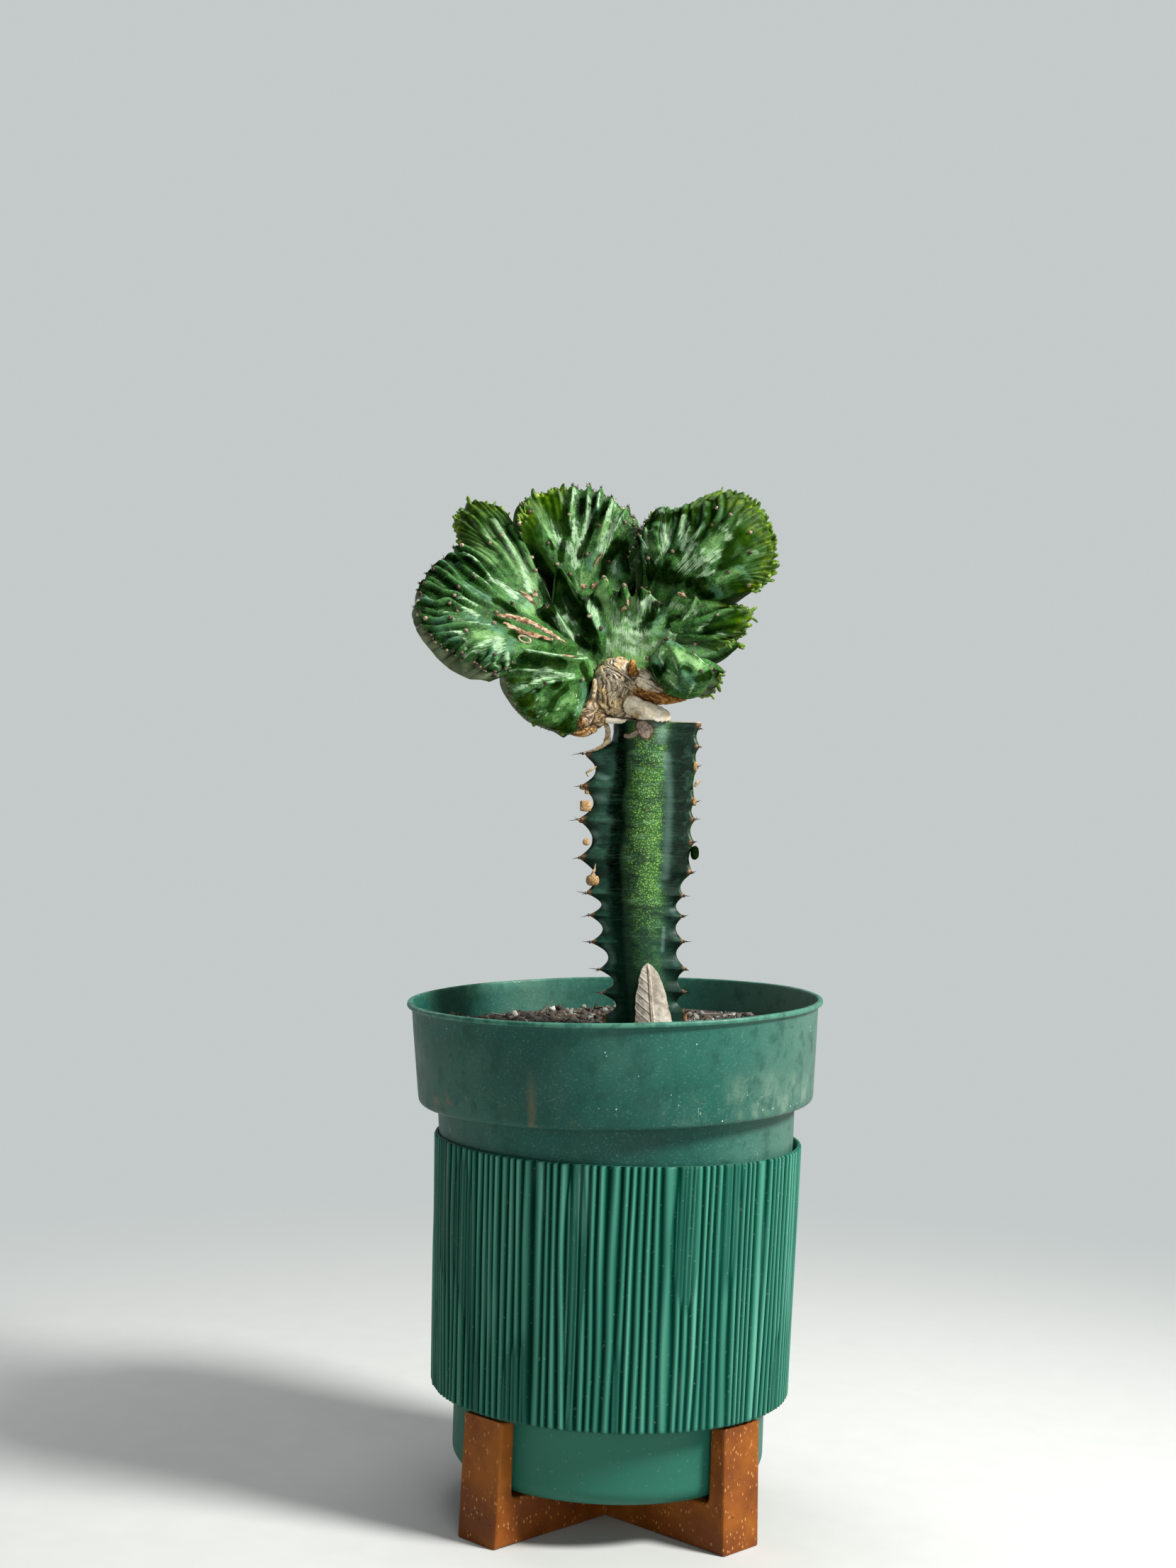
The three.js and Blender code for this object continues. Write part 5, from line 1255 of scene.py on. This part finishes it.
def crest_look():
    """Waxy crest skin: black-green painted as shade in the folds and hollows, lighter green painted as
    highlight on the rib tops, lighter patches partly painted light, near-black painted shadow along the dark
    lines, feathered grey-green marbling, painted bluish sheen, yellow-green young margins, grey undersides,
    and brown cork on old scars."""
    look = Look("crest_skin")
    along, high, fold_shade, under = look.fields("along", "high", "fold_shade", "under")
    young, cork, pale, blue, shade, free = look.fields("young", "cork", "pale", "blue", "shade", "free")
    own = look.vector(look.field("arc"), along * 40, 0)
    mottle = look.noise(170, 6, 0.66)
    soft = look.noise(240, 4, 0.6) - 0.5
    feather = look.noise((0.75, 0.16, 1), 5, 0.66, 0.9, over=own) - 0.5
    look.base = mottle.ramp((0.3, (0.003, 0.018, 0.002)), (0.45, (0.011, 0.054, 0.007)),
            (0.58, (0.028, 0.112, 0.017)), (0.78, (0.075, 0.215, 0.046)))
    # painted highlight: lighter green on the rib tops
    look.paint(high * mottle.window(0.35, 0.65, 0.12, 0.45), (0.048, 0.175, 0.052))
    # tone above 0 follows the lighter lines, partly painted light; below 0 it follows the lines of painted
    # shadow
    tone = shade + feather * 0.9
    tone = tone + soft * 0.9
    look.paint(tone.window(0.2, 0.75) * 0.75, mottle.ramp((0.35, (0.072, 0.195, 0.044)),
            (0.65, (0.215, 0.4, 0.15))))
    # painted bluish sheen along the sheen lines
    sheen_share = blue + (soft * 1.4 + feather * 0.8)
    look.paint(sheen_share.window(0.2, 1.05) * 0.5, mottle.ramp((0.35, (0.04, 0.13, 0.085)),
            (0.7, (0.15, 0.33, 0.24))))
    spread = pale * 0.8 + feather * 2.4
    spread = spread + soft * 0.9
    own_pale = spread.window(0.36, 0.62) * pale.window(0.02, 0.3)
    wide = look.noise((0.16, 0.09, 1), 3, 0.5, 0.3, over=own)
    band = along.window(0.15, 0.35) * along.window(0.92, 0.7)
    grown_pale = feather.window(0, 0.1) * wide.window(0.5, 0.6) * (band * free)
    veil = feather.window(0.05, 0.25) * 0.16
    share = own_pale.max(grown_pale).max(veil)
    cream = look.noise(420, 3).ramp((0.3, (0.16, 0.29, 0.155)), (0.55, (0.31, 0.46, 0.28)),
            (0.8, (0.48, 0.6, 0.42)))
    look.paint(share * 0.9, cream)
    # painted shadow: near-black green along the lines of painted shadow
    look.paint(tone.window(-0.18, -0.8) * 0.96, mottle.ramp((0.4, (0.0008, 0.005, 0.0006)),
            (0.75, (0.012, 0.028, 0.004))))
    fleck = look.noise(1500, 2, 0.6).window(0.54, 0.64)
    look.paint(fleck * tone.window(-0.6, 0.05, 0.02, 0.45), (0.15, 0.3, 0.08))
    pit = look.noise(900, 3, 0.65).window(0.54, 0.68)
    look.paint(pit * 0.6, (0.005, 0.026, 0.004))
    edge = along + (mottle - 0.5) * 0.5
    margin = edge.window(0.74, 1.02) * young
    lime = look.noise(330, 4).ramp((0.34, (0.005, 0.02, 0.0005)), (0.48, (0.028, 0.068, 0.0008)),
            (0.6, (0.072, 0.132, 0.002)), (0.8, (0.25, 0.32, 0.012)))
    grown = young * along.window(0.45, 0.95)
    look.paint(grown * 0.72, (0.022, 0.074, 0.003))
    look.paint(margin, lime)
    # painted shade in the folds, hollows and gaps between ribs
    look.paint(fold_shade * 0.92, (0.0008, 0.005, 0.0008))
    grey = look.noise(90, 5, 0.6).ramp((0.3, (0.045, 0.06, 0.028)), (0.5, (0.12, 0.14, 0.08)),
            (0.72, (0.24, 0.26, 0.17)))
    look.paint(under * 0.85, grey)
    bark = look.noise((260, 260, 420), 5, 0.7, 1)
    scar = bark.ramp((0.34, (0.03, 0.014, 0.006)), (0.45, (0.16, 0.085, 0.042)), (0.56, (0.39, 0.275, 0.18)),
            (0.78, (0.64, 0.52, 0.39)))
    cork = cork + soft * 0.7
    look.paint(cork.window(0.22, 0.42) * 0.8, (0.02, 0.012, 0.005))
    cork = cork.window(0.4, 0.5)
    look.paint(cork, scar)
    height = mottle * 0.8 + look.noise(700, 3) * 0.35
    return look.surface(Roughness=look.mix(cork, (0.56, 0.56, 0.56), (0.9, 0.9, 0.9)),
            Specular_IOR_Level=fold_shade.max(tone * -1).window(0.1, 0.8, 0.18, 0), Normal=height.bump(0.0006, 0.7))


def cork_look():
    """Cork and callus: buff and grey-brown bark, dark in the wrinkles and cracks, cream or ochre on some
    limbs, with painted shade where limbs meet."""
    look = Look("crest_cork")
    pale, ochre, low = look.fields("pale", "ochre", "low")
    bark = look.noise(300, 6, 0.68, 0.8)
    look.base = bark.ramp((0.26, (0.32, 0.165, 0.058)), (0.4, (0.62, 0.41, 0.185)),
            (0.54, (0.84, 0.65, 0.355)), (0.72, (0.94, 0.83, 0.59)))
    patches = look.noise(110, 4).window(0.46, 0.6)
    look.paint(patches * 0.5, (0.64, 0.6, 0.52))
    orange = bark.ramp((0.3, (0.14, 0.042, 0.006)), (0.46, (0.48, 0.19, 0.03)), (0.6, (0.72, 0.38, 0.1)),
            (0.78, (0.86, 0.62, 0.3)))
    rust = ochre + (bark - 0.5) * 1.4
    look.paint(rust.window(0.35, 0.75), orange)
    cream = look.noise(330, 5).ramp((0.3, (0.76, 0.61, 0.4)), (0.5, (0.9, 0.79, 0.6)),
            (0.75, (0.96, 0.91, 0.79)))
    light = pale + (bark - 0.5) * 1.2
    look.paint(light.window(0.3, 0.8), cream)
    own = look.vector(*look.fields(*GRAIN))
    crack = look.noise((0.9, 0.9, 0.6), 3, 0.6, 0.8, over=own)
    fine = look.noise((1.5, 1.5, 1.3), 3, 0.65, 1.2, over=own)
    crack, fine = (abs(n - 0.5).window(0.035, 0) for n in (crack, fine))
    crack = crack.max(fine * 0.8) * pale.window(0.9, 0.2, 0.22, 0.9)
    # low holds the dark wrinkles, the darker aged limbs, and painted shade where two limbs meet
    dark = low.window(0.15, 0.95).max(crack)
    look.paint(dark * 0.86, (0.055, 0.026, 0.012))
    sunk = bark + crack * -0.5
    return look.surface(Roughness=0.85, Specular_IOR_Level=0.25, Normal=sunk.bump(0.0007, 0.8))


def horn_look():
    """Teeth and spines: lime leaf teeth, brown or buff pads, near-black spine tips."""
    look = Look("crest_teeth")
    tip, young, pale = look.fields("tip", "young", "pale")
    look.base = look.noise(500, 3).ramp((0.3, (0.018, 0.01, 0.005)), (0.55, (0.075, 0.045, 0.024)),
            (0.8, (0.3, 0.22, 0.13)))
    buff = look.noise(450, 3).ramp((0.3, (0.18, 0.12, 0.07)), (0.6, (0.48, 0.39, 0.27)),
            (0.8, (0.68, 0.62, 0.5)))
    look.paint(pale.window(0.4, 0.8), buff)
    green = look.noise(330, 4).ramp((0.3, (0.008, 0.03, 0.001)), (0.46, (0.045, 0.11, 0.002)),
            (0.6, (0.105, 0.195, 0.004)), (0.8, (0.32, 0.41, 0.028)))
    look.paint(young, green)
    look.paint(tip.window(0.55, 0.9), (0.02, 0.01, 0.007))
    return look.surface(Roughness=0.5, Specular_IOR_Level=0.4, Normal=look.noise(900, 3).bump(0.0002, 0.5))


def arch(at, direction, length, bend, t):
    """The path at + length * (t direction + t^2 bend), straight before `at`."""
    return at + np.outer(t, direction) * length + np.outer(np.clip(t, 0, 1) ** 2, bend) * length


def along_tube(t, around):
    """The share of the way along a tube for each of its points."""
    return np.append(np.repeat(np.clip(t, 0, 1), around), [0.0, 1.0])


def spike(at, direction, length, radius, bend, rows, around):
    """A tapered, slightly curved cone that starts a little behind `at`."""
    t = np.linspace(-0.25, 1, rows)
    radii = radius * np.clip(1 - np.clip(t, 0, 1), 0.04, 1) ** 0.8
    return *tube(arch(at, direction, length, bend, t), radii, around), along_tube(t, around)


def crest():
    """The fans with their teeth, three ellipsoids made uneven by noise and painted near-black as shade, that
    fill the dark gaps between them, and the foot. Gives the look of the skin."""
    skin_look = crest_look()
    teeth = []
    draw = np.random.default_rng(TOOTH_SEED)
    for number, f in enumerate(FANS):
        points, faces, fields, skin = fan(f, number)
        piece = make("crest_fan_" + f["name"], points, faces, skin_look, "crest_skin", **fields)
        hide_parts("crest")
        teeth += fan_teeth(f, skin, draw)
    parts = []
    for middle, radii in SHADE_FILLERS:
        points, faces = ball(40, 24)
        points = points * radii + middle
        points = points + unit(points - middle) * (0.8 * noise(points, 9.0, 71))[:, None]
        # painted shade: these fillers are near-black all over
        parts.append((points, faces, {"along": 0.3, "fold_shade": 1.0, "under": 0.0, "free": 0.0, "young": 0.0}))
    make_joined("crest_shade_filler", parts, skin_look, "crest_skin")
    make_joined("crest_teeth", teeth, horn_look(), "crest_skin")
    foot()
    return skin_look


def horn(shape, tip, young=0.0, pale=0.0):
    """A shape of (points, faces) with the values that the look of the teeth and spines reads."""
    return *shape, {"tip": tip, "young": young, "pale": pale}


def areole(at, normal, sideways, draw, size=1.0, pale=0.0):
    """A corky pad with two small dark spines."""
    points, faces = ball(8, 6)
    half = np.array([0.62, 0.62, 0.55]) * size * (0.9 + 0.3 * draw.random())
    parts = [horn((points * half + at + normal * 0.15 * size, faces), 0.0, pale=pale)]
    for sign in (-1, 1):
        direction = unit(normal + 0.55 * sign * sideways + 0.25 * draw.standard_normal(3))
        *shape, tip = spike(at + normal * 0.25, direction, (1.0 + 0.7 * draw.random()) * size, 0.24 * size,
                0.2 * draw.standard_normal(3), 4, 5)
        parts.append(horn(shape, 0.55 + 0.45 * tip))
    return parts


def lobe(at, direction, flat_way, length, wide, draw):
    """A small blunt leaf tooth: a flattened tube that narrows to a rounded end."""
    t = np.linspace(-0.3, 1, 7)
    path = arch(at, direction, length, 0.25 * draw.standard_normal(3), t)
    points, faces = tube(path, wide * np.array([0.9, 1.0, 0.98, 0.92, 0.86, 0.80, 0.42]), 8)
    middle = np.repeat(path, 8, 0)
    away = points[:-2] - middle
    points[:-2] = middle + (away - 0.45 * (away @ flat_way)[:, None] * flat_way)
    return points, faces, along_tube(t, 8)


def fan_teeth(f, skin, draw):
    """Leaf teeth along young margins, corky pads with spines on old ones and on the ends of ribs, and those
    on the faces that the front view shows."""
    parts = []
    arc, out, on = skin.arc, skin.out, skin.on
    rim, rim_out_of = skin.front[:, -1], skin.out_of[:, -1]
    sideways = unit(np.cross(out, rim_out_of))
    at = 0.6
    while at < arc[-1] - 0.4:
        i = int(np.searchsorted(arc, at))
        if draw.random() < skin.young[i]:
            for row in (-0.7, 0.7):
                direction = unit(out[i] + 0.35 * row * rim_out_of[i] + 0.30 * draw.standard_normal(3))
                place = rim[i] - out[i] * 0.9 + rim_out_of[i] * row * draw.uniform(0.3, 1.6)
                *shape, share = lobe(place, direction, unit(rim_out_of[i] + 0.5 * draw.standard_normal(3)),
                        1.5 + 1.3 * draw.random(), 0.72 + 0.42 * draw.random(), draw)
                parts.append(horn(shape, 0.35 * share, 1.0))
        elif draw.random() < skin.horn[i]:
            place = rim[i] - out[i] * 0.3 + rim_out_of[i] * draw.uniform(-0.9, 0.6)
            parts += areole(place, unit(out[i] + 0.4 * rim_out_of[i]), sideways[i], draw,
                    0.75 + 0.5 * draw.random(), draw.random())
        at += 1.25 + 0.7 * draw.random()
    last = -9.0
    for i in range(2, len(arc) - 2):
        peak = on[i] >= on[i - 2:i + 3].max() and on[i] > 0.4
        if peak and arc[i] - last >= 1.6 and skin.young[i] <= 0.6:
            last = arc[i]
            parts += areole(rim[i] - out[i] * 0.2, out[i], sideways[i], draw, 0.95)

    def on_face(i, j, lean, *sizes):
        normal = skin.out_of[i, j]
        return areole(skin.front[i, j], unit(normal + lean * out[i]), unit(np.cross(out[i], normal)), draw,
                *sizes)

    seen = np.reshape(BUMPS.get(f["name"], ()), (-1, 2))
    for x, y in seen:
        parts += on_face(*divmod(seen_at(skin.front, x, y), len(skin.v)), 0.7, 1.35,
                0.30 + 0.45 * draw.random())
    if f["name"] == "left":
        depth = skin.front.reshape(-1, 3)[seen_at(skin.front, *LEAF_RING), 1] - 0.9
        a = np.linspace(0, 2 * np.pi, 33)
        loop = at_pixel(*LEAF_RING, depth) + np.outer(np.cos(a) * 2.5, RIGHT * 0.93 - UP * 0.37)
        loop = loop + np.outer(np.sin(a) * 1.15, UP * 0.93 + RIGHT * 0.37)
        parts.append(horn(tube(loop, np.full(33, 0.42), 6), 0.0, pale=1.0))
    for k in range(1, 0 if len(seen) else f["ribs"], 2):
        for share in (0.45 + 0.15 * draw.random(), 0.76 + 0.1 * draw.random()):
            if draw.random() < 0.35:
                continue
            j = int(np.argmin(np.abs(skin.v - share)))
            i = int(np.argmin(np.abs(skin.turns[:, j] - k)))
            if 3 < i < len(arc) - 4:
                parts += on_face(i, j, 0.6, 1.0, draw.random())
    return parts


def limb(path, radii, pale, ochre, wrinkle, seed, squash=1.0, contour=0.0, spots=(), aged=0.0):
    """A sweep with domed ends through image places with depths. Its skin has soft swells, and wrinkles along
    it where two noises pass through zero: exp(-(n / 0.12)^2) is 1 there, sinks the skin and is kept in `low`.
    A spot (x, y, depth, radius, pale, ochre) changes the two colours round a place, and `aged` darkens the
    whole limb. Gives the shape, its middle line and its radii."""
    knots = np.array([at_pixel(*place) for place in path])
    length = np.linalg.norm(np.diff(spline(knots, np.linspace(0, 1, 50)), axis=0), axis=1).sum()
    fine = 1.0
    rows, around = int(fine * np.clip(4 * length, 30, 110)), int(fine * np.clip(14 * max(radii), 20, 120))
    t = np.linspace(0, 1, rows)
    line = spline(knots, t)
    radius = np.interp(t, np.linspace(0, 1, len(radii)), radii)
    for end, at_end in ((t, 0), (1 - t, -1)):
        dome = min(0.5, radius[at_end] / length)
        radius = radius * np.sqrt(np.clip(1 - np.clip(1 - end / dome, 0, 1) ** 2, 0.01, 1))
    points, faces = tube(line, radius, around, squash)
    skin = points[:-2].reshape(rows, around, 3)
    size, far = radius[:, None], (t * length)[:, None]
    own = turned(size, turns(around), 0.4 * far)
    warped = own + 0.9 * np.stack([noise(skin, 2.4, seed + k) for k in (3, 4, 5)], -1)
    lines = np.exp(-(noise(warped, 1.7, seed) / 0.12) ** 2)
    lines = lines + 0.6 * np.exp(-(noise(warped, 0.9, seed + 1) / 0.16) ** 2)
    lines = np.clip(lines, 0, 1.3) * wrinkle
    rings = 0.5 + 0.5 * np.sin((far + 1.6 * noise(skin, 4.0, seed + 6)) * 2 * np.pi / 1.25)
    push = 0.8 * noise(skin, 5.0, seed + 2) + 0.35 * noise(skin, 2.2, seed + 7)
    push = push - 0.5 * lines + contour * (rings - 0.5)
    skin += unit(skin - line[:, None]) * (push * np.clip(size / 3, 0.1, 1))[..., None]
    low = aged + lines * 0.9 + contour * 2.2 * np.clip(0.45 - rings, 0, 1)
    over = np.hypot(points[:, 0] - STEM_AXIS[-1][1], points[:, 1]) < 17.0
    points[over, 2] = np.maximum(points[over, 2], STEM.cut + 0.12)
    pale, ochre = np.ones((2, len(points))) * [[pale], [ochre]]
    for x, y, depth, reach, to_pale, to_ochre in spots:
        share = step(np.linalg.norm(points - at_pixel(x, y, depth), axis=1), 1.4 * reach, 0.6 * reach)
        pale += (to_pale - pale) * share
        ochre += (to_ochre - ochre) * share
    own = np.vstack([own.reshape(-1, 3), [0, 0, 0], own[-1, -1]])
    fields = {"pale": pale, "ochre": ochre, "low": np.append(low, [0.0, 0.0]), **dict(zip(GRAIN, own.T))}
    return (points, faces, fields), line, radius


def foot():
    """The corky foot: a trunk, a tapered right arm, a left tail that widens downwards, an orange bud, a
    smooth pale lump, the white callus line on the stem and the curl beside it. `low` paints shade where two
    limbs meet."""
    # the first four grow into each other without a crease
    limbs = [
        limb(((870, 1014, -5), (867, 1000, -6), (867, 980, -6.5), (869, 962, -6.5), (873, 948, -5.5),
            (877, 939, -3)), (7.2, 8.4, 8.9, 9.2, 8.4, 5), 0, 0, 1.25, 81, 1, 0,
            ((862, 950, -12, 6.5, 0.6, 0), (884, 972, -14, 5, 0, 0.3), (870, 990, -15, 5, 0, 0.1))),
        limb(((884, 965, -6), (903, 966, -9), (922, 977, -12), (946, 985, -14), (969, 987, -15)),
            (6.8, 6.5, 4.6, 2.7, 0.6), 0, 0.3, 1, 82, 1, 0, ((911, 961, -14, 4.4, 0.8, 0),
            (905, 982, -13, 3.6, 0, 0.95), (920, 987, -15, 3.6, 0, 0.95), (938, 988, -16, 3.8, 0.1, 0.95),
            (955, 988, -16, 3.6, 0, 0.9))),
        limb(((850, 962, -9), (853, 952, -9.5), (866, 947, -10), (884, 946, -9), (898, 950, -8)),
            (3, 3.4, 3.6, 3.4, 2.6), 0.45, 0, 1.2, 94),
        limb(((850, 985, -9), (849, 998, -10), (856, 1008, -9)), (3.6, 4.2, 3.4), 0, 0, 1.2, 90),
        limb(((894, 955, -13), (893, 944, -13.5), (892, 930, -13)), (2.1, 2, 1.3), 0, 1, 0.9, 84),
        limb(((878, 992, -11), (889, 995, -12.5), (910, 1003, -14), (930, 1010, -13), (944, 1014, -10.5)),
            (1.6, 3.4, 4.5, 4.2, 1.6), 0.95, 0.1, 0.22, 85, 1, 0.22, ((914, 995, -18, 4.5, 1.2, 0),
            (895, 1008, -17, 3.5, 0.5, 0.1))),
        limb(((866, 1010, -9), (885, 1013, -10), (905, 1015, -10)), (2.4, 2.6, 1.6), 0.5, 0.1, 0.6, 92),
        limb(((839, 957, -12), (838, 975, -14), (835, 990, -16)), (0.7, 1, 1.6), 0, 0.1, 0.5, 86, aged=0.42),
        limb(((837, 982, -14), (833, 996, -16), (827, 1009, -17), (818, 1021, -17.5), (805, 1032, -18)),
            (1, 2.6, 4, 4.2, 1.4), 0, 0.45, 0.9, 87, 0.8, 0, ((812, 1018, -21, 2.8, 0, 0.9),
            (805, 1030, -19, 3.2, 0, 0.8), (832, 998, -19, 2.2, 0.3, 0.3)), 0.40),
        limb(((849, 1006, -9), (843, 1014, -11.5), (833, 1025, -13.5)), (3, 3.6, 3), 0, 0.4, 0.9, 95,
            aged=0.45),
        limb(((803, 1033, -17), (820, 1033.5, -16.5), (842, 1027, -13)), (1, 1.9, 1.5), 0, 0.6, 0.9, 93,
            aged=0.25),
        limb(((838, 1022, -11), (848, 1016.5, -12), (880, 1017.5, -12.9), (915, 1018.5, -12.9),
            (948, 1019, -11)), (0.9, 1.6, 1.4, 1.2, 0.6), 1, 0, 0.15, 88, 0.7),
        limb(((851, 1018, -8.2), (857, 1028, -8.2), (856, 1046, -8), (843, 1056, -8), (825, 1061, -7.6)),
            (1.5, 1.5, 1.5, 1.3, 0.5), 0.45, 0.2, 0.9, 89, 0.6),
    ]
    for i, ((points, _, fields), _, _) in enumerate(limbs):
        for j, (_, axis, size) in enumerate(limbs):
            if j != i and max(i, j) > 3:
                # painted shade along the meeting of two limbs
                gap = (np.linalg.norm(points[:, None] - axis[::2], axis=-1) - size[::2]).min(1)
                fields["low"] = np.maximum(fields["low"], 1.1 * np.exp(-(gap / 0.45) ** 2))
    make_joined("crest_foot", [part for part, _, _ in limbs], cork_look(), "crest_skin")


# Stubs have an image place with its depth, half sizes in mm, a boxiness and a seed. Flakes have a path of
# such places, radii in mm and a seed.
STUBS = (
    ((826, 1137, -7.0), (2.7, 2.4, 2.6), 0.75, 121), ((836, 1242, -6.2), (2.9, 2.5, 2.5), 0.25, 122),
    ((822, 1110, -7.0), (1.5, 1.2, 1.3), 0.3, 123), ((828, 1117, -7.0), (1.2, 1.0, 1.2), 0.3, 124),
    ((827, 1188, -7.0), (1.5, 1.2, 1.6), 0.2, 125), ((820, 1158, -7.0), (1.0, 0.9, 1.0), 0.2, 126),
    ((980, 1203, -14.2), (1.9, 1.6, 2.9), 0.0, 127), ((981, 1081, -14.0), (1.0, 0.9, 2.0), 0.2, 128),
    ((980, 1131, -14.0), (1.0, 0.9, 1.9), 0.2, 129),
)
BUD_SEED = 127  # the stub that is a green bud
FLAKES = (
    (((842, 1081, -8.5), (834, 1086, -9), (828, 1090, -9), (830, 1096, -8.5)), (0.5, 0.9, 0.8, 0.3), 131),
    (((833, 1236, -7.5), (838, 1228, -8), (840, 1218, -8)), (0.5, 0.5, 0.2), 132),
    (((979, 1110, -14.2), (984, 1104, -14.6), (990, 1099, -14.8)), (0.6, 1.0, 0.3), 133),
    (((896, 1040, -13.5), (900, 1034, -13.9), (908, 1028, -14.0)), (0.4, 0.7, 0.3), 134),
)


def rootstock(leaf_skin):
    """The stem, a pad with two spines on each of its teeth, and its stubs, flakes and green bud. A stub is a
    ball blended towards a box, with dark lines where a noise passes through zero."""
    points, faces, fields = stem()
    piece = make("rootstock_stem", points, faces, stem_look(), "stem_skin", **fields)
    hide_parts("rootstock")
    draw = np.random.default_rng(SPINE_SEED)
    spines = []
    for w, row in enumerate(TEETH):
        out = turned(1.0, math.radians(WING_TURN[w]), 0.0)
        side = np.array([-out[1], out[0], 0.0])
        for z in row:
            at = out * (table(WING_REACH[w], z) - 0.5) + [table(STEM_AXIS, z), 0, z - (z > STEM.cut - 3)]
            pad, faces = ball(8, 6)
            spines.append(horn((pad * [0.50, 0.50, 0.70] + at - out * 0.1, faces), 0.1,
                    pale=0.6 * draw.random()))
            length = (3.0 if w == 0 else 2.2) + 1.4 * draw.random()
            for sign, share in ((-1, 1.0), (1, 0.45)):
                direction = unit(out + 0.22 * sign * side + [0, 0, 0.25 * draw.standard_normal()])
                *shape, tip = spike(at, direction, length * share, 0.26, 0.10 * draw.standard_normal(3), 6, 6)
                spines.append(horn(shape, 0.5 + 0.5 * tip))
    make_joined("rootstock_spines", spines, horn_look(), "stem_skin")
    stubs, bud = [], []
    for place, half, boxy, seed in STUBS:
        q, faces = ball(28, 18)
        p = (q * (1 - boxy) + q / np.abs(q).max(1, keepdims=True) * boxy * 0.85) * half
        folds = np.abs(noise(p, 1.3, seed))
        p = p * (1 + 0.10 * noise(p, 1.8, seed + 40) - 0.10 * folds)[:, None] + at_pixel(*place)
        if seed == BUD_SEED:
            # the bud is darkened with painted shade, through the crest look's fold and shade fields
            bud.append((p, faces, {"fold_shade": 0.5, "shade": -0.8}))
        else:
            low = np.clip(0.9 - 3.0 * folds, 0, 1) * 0.7
            stubs.append((p, faces, {"pale": 0.0, "ochre": 0.55, "low": low, **dict(zip(GRAIN, p.T))}))
    stubs += [limb(path, radii, 0.3, 0.3, 0.3, seed, 0.6)[0] for path, radii, seed in FLAKES]
    make_joined("rootstock_stubs", stubs, bpy.data.materials["crest_cork"], "stem_skin")
    make_joined("rootstock_bud", bud, leaf_skin, "stem_skin")


# Dried leaf

LEAF = Named(foot=196.2, tip=223.0, middle=(12.5, 9.4), stand=(-19.2, -15.8), cup=0.035, thickness=0.8)
LEAF_WIDTH = ((0, 6.5), (0.1, 7.9), (0.37, 6.9), (0.55, 6.2), (0.74, 4.8), (0.87, 3.5), (0.96, 2), (1, 0.8))


def leaf_look():
    """Papery buff with a fine crackle and darker veins."""
    look = Look("dried_leaf")
    vein = look.field("vein")
    paper = look.noise(260, 5, 0.65)
    look.base = paper.ramp((0.3, (0.235, 0.205, 0.155)), (0.5, (0.4, 0.365, 0.3)), (0.75, (0.56, 0.53, 0.46)))
    look.paint(look.cells(420, "DISTANCE_TO_EDGE", over=look.scaled(look.place, (1, 1, 0.6))).window(0.06, 0,
            0, 0.35), (0.17, 0.13, 0.09))
    look.paint(vein * 0.4, (0.3, 0.2, 0.12))
    height = paper + vein * 0.8
    return look.surface(Roughness=0.8, Normal=height.bump(0.0005, 0.8))


def dry_leaf():
    """A blade of half width w(t) on a straight midline, cupped by 0.035 of the squared distance from it, with
    a double raised midrib, side veins and a nibbled edge. Arrays have a row for each t from foot to tip."""
    rows, across = 90, 49
    t = np.linspace(0, 1, rows)[:, None]
    s = np.linspace(-1, 1, across)
    line = np.concatenate([0 * t + 40.0, t * 30, t * 0], 1)
    left, right = (table(LEAF_WIDTH, t) + 0.35 * fractal(line + shift, 4.0, seed)[:, None] - 0.2
            for shift, seed in ((0, 91), (9, 92)))
    off = np.where(s < 0, left, right) * s
    x, y, z = (np.interp(t, [0, 1], ends) for ends in (LEAF.middle, LEAF.stand, (LEAF.foot, LEAF.tip)))
    p = np.stack(np.broadcast_arrays(x + off, y + LEAF.cup * off ** 2, z), -1)
    rib = np.exp(-((off - 0.15) / 0.28) ** 2) + np.exp(-((off + 0.75 - 0.5 * t) / 0.28) ** 2)
    side_vein = np.exp(-((((np.abs(off) * 0.9 - t * 28) % 4.2) - 2.1) / 0.3) ** 2) * 0.35
    vein = np.clip(rib + side_vein, 0, 1) * step(t, 1.0, 0.9)
    puckered = 0.25 * fractal(p, 3.0, 93)
    thin = (1 - np.abs(s) ** 6) * np.clip(np.minimum(t / 0.02, (1 - t) / 0.03), 0.05, 1)
    thick_way = np.array([0, 1.0, 0])
    front = p - (0.28 * vein + puckered)[..., None] * thick_way
    back = p + (LEAF.thickness * thin - puckered * 0.6)[..., None] * thick_way
    grid = np.concatenate([front, back[:, ::-1]], 1)
    loop = 2 * across
    k = np.arange(across - 1)
    foot = np.stack([k + 1, k, loop - 1 - k, loop - 2 - k], -1)
    faces = [ring_quads(rows, loop), foot, foot[:, [1, 0, 3, 2]] + (rows - 1) * loop]
    piece = make("dried_leaf_blade", grid, faces, leaf_look(), "dried_leaf",
            vein=np.concatenate([vein, vein[:, ::-1]], 1))
    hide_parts("dry_leaf")


camera()
stage()
stand = bpy.data.objects["stand"].data
stand.materials.clear()
stand.materials.append(stand_look())
cover_pot()
nursery_pot()
soil()
rootstock(crest())
dry_leaf()
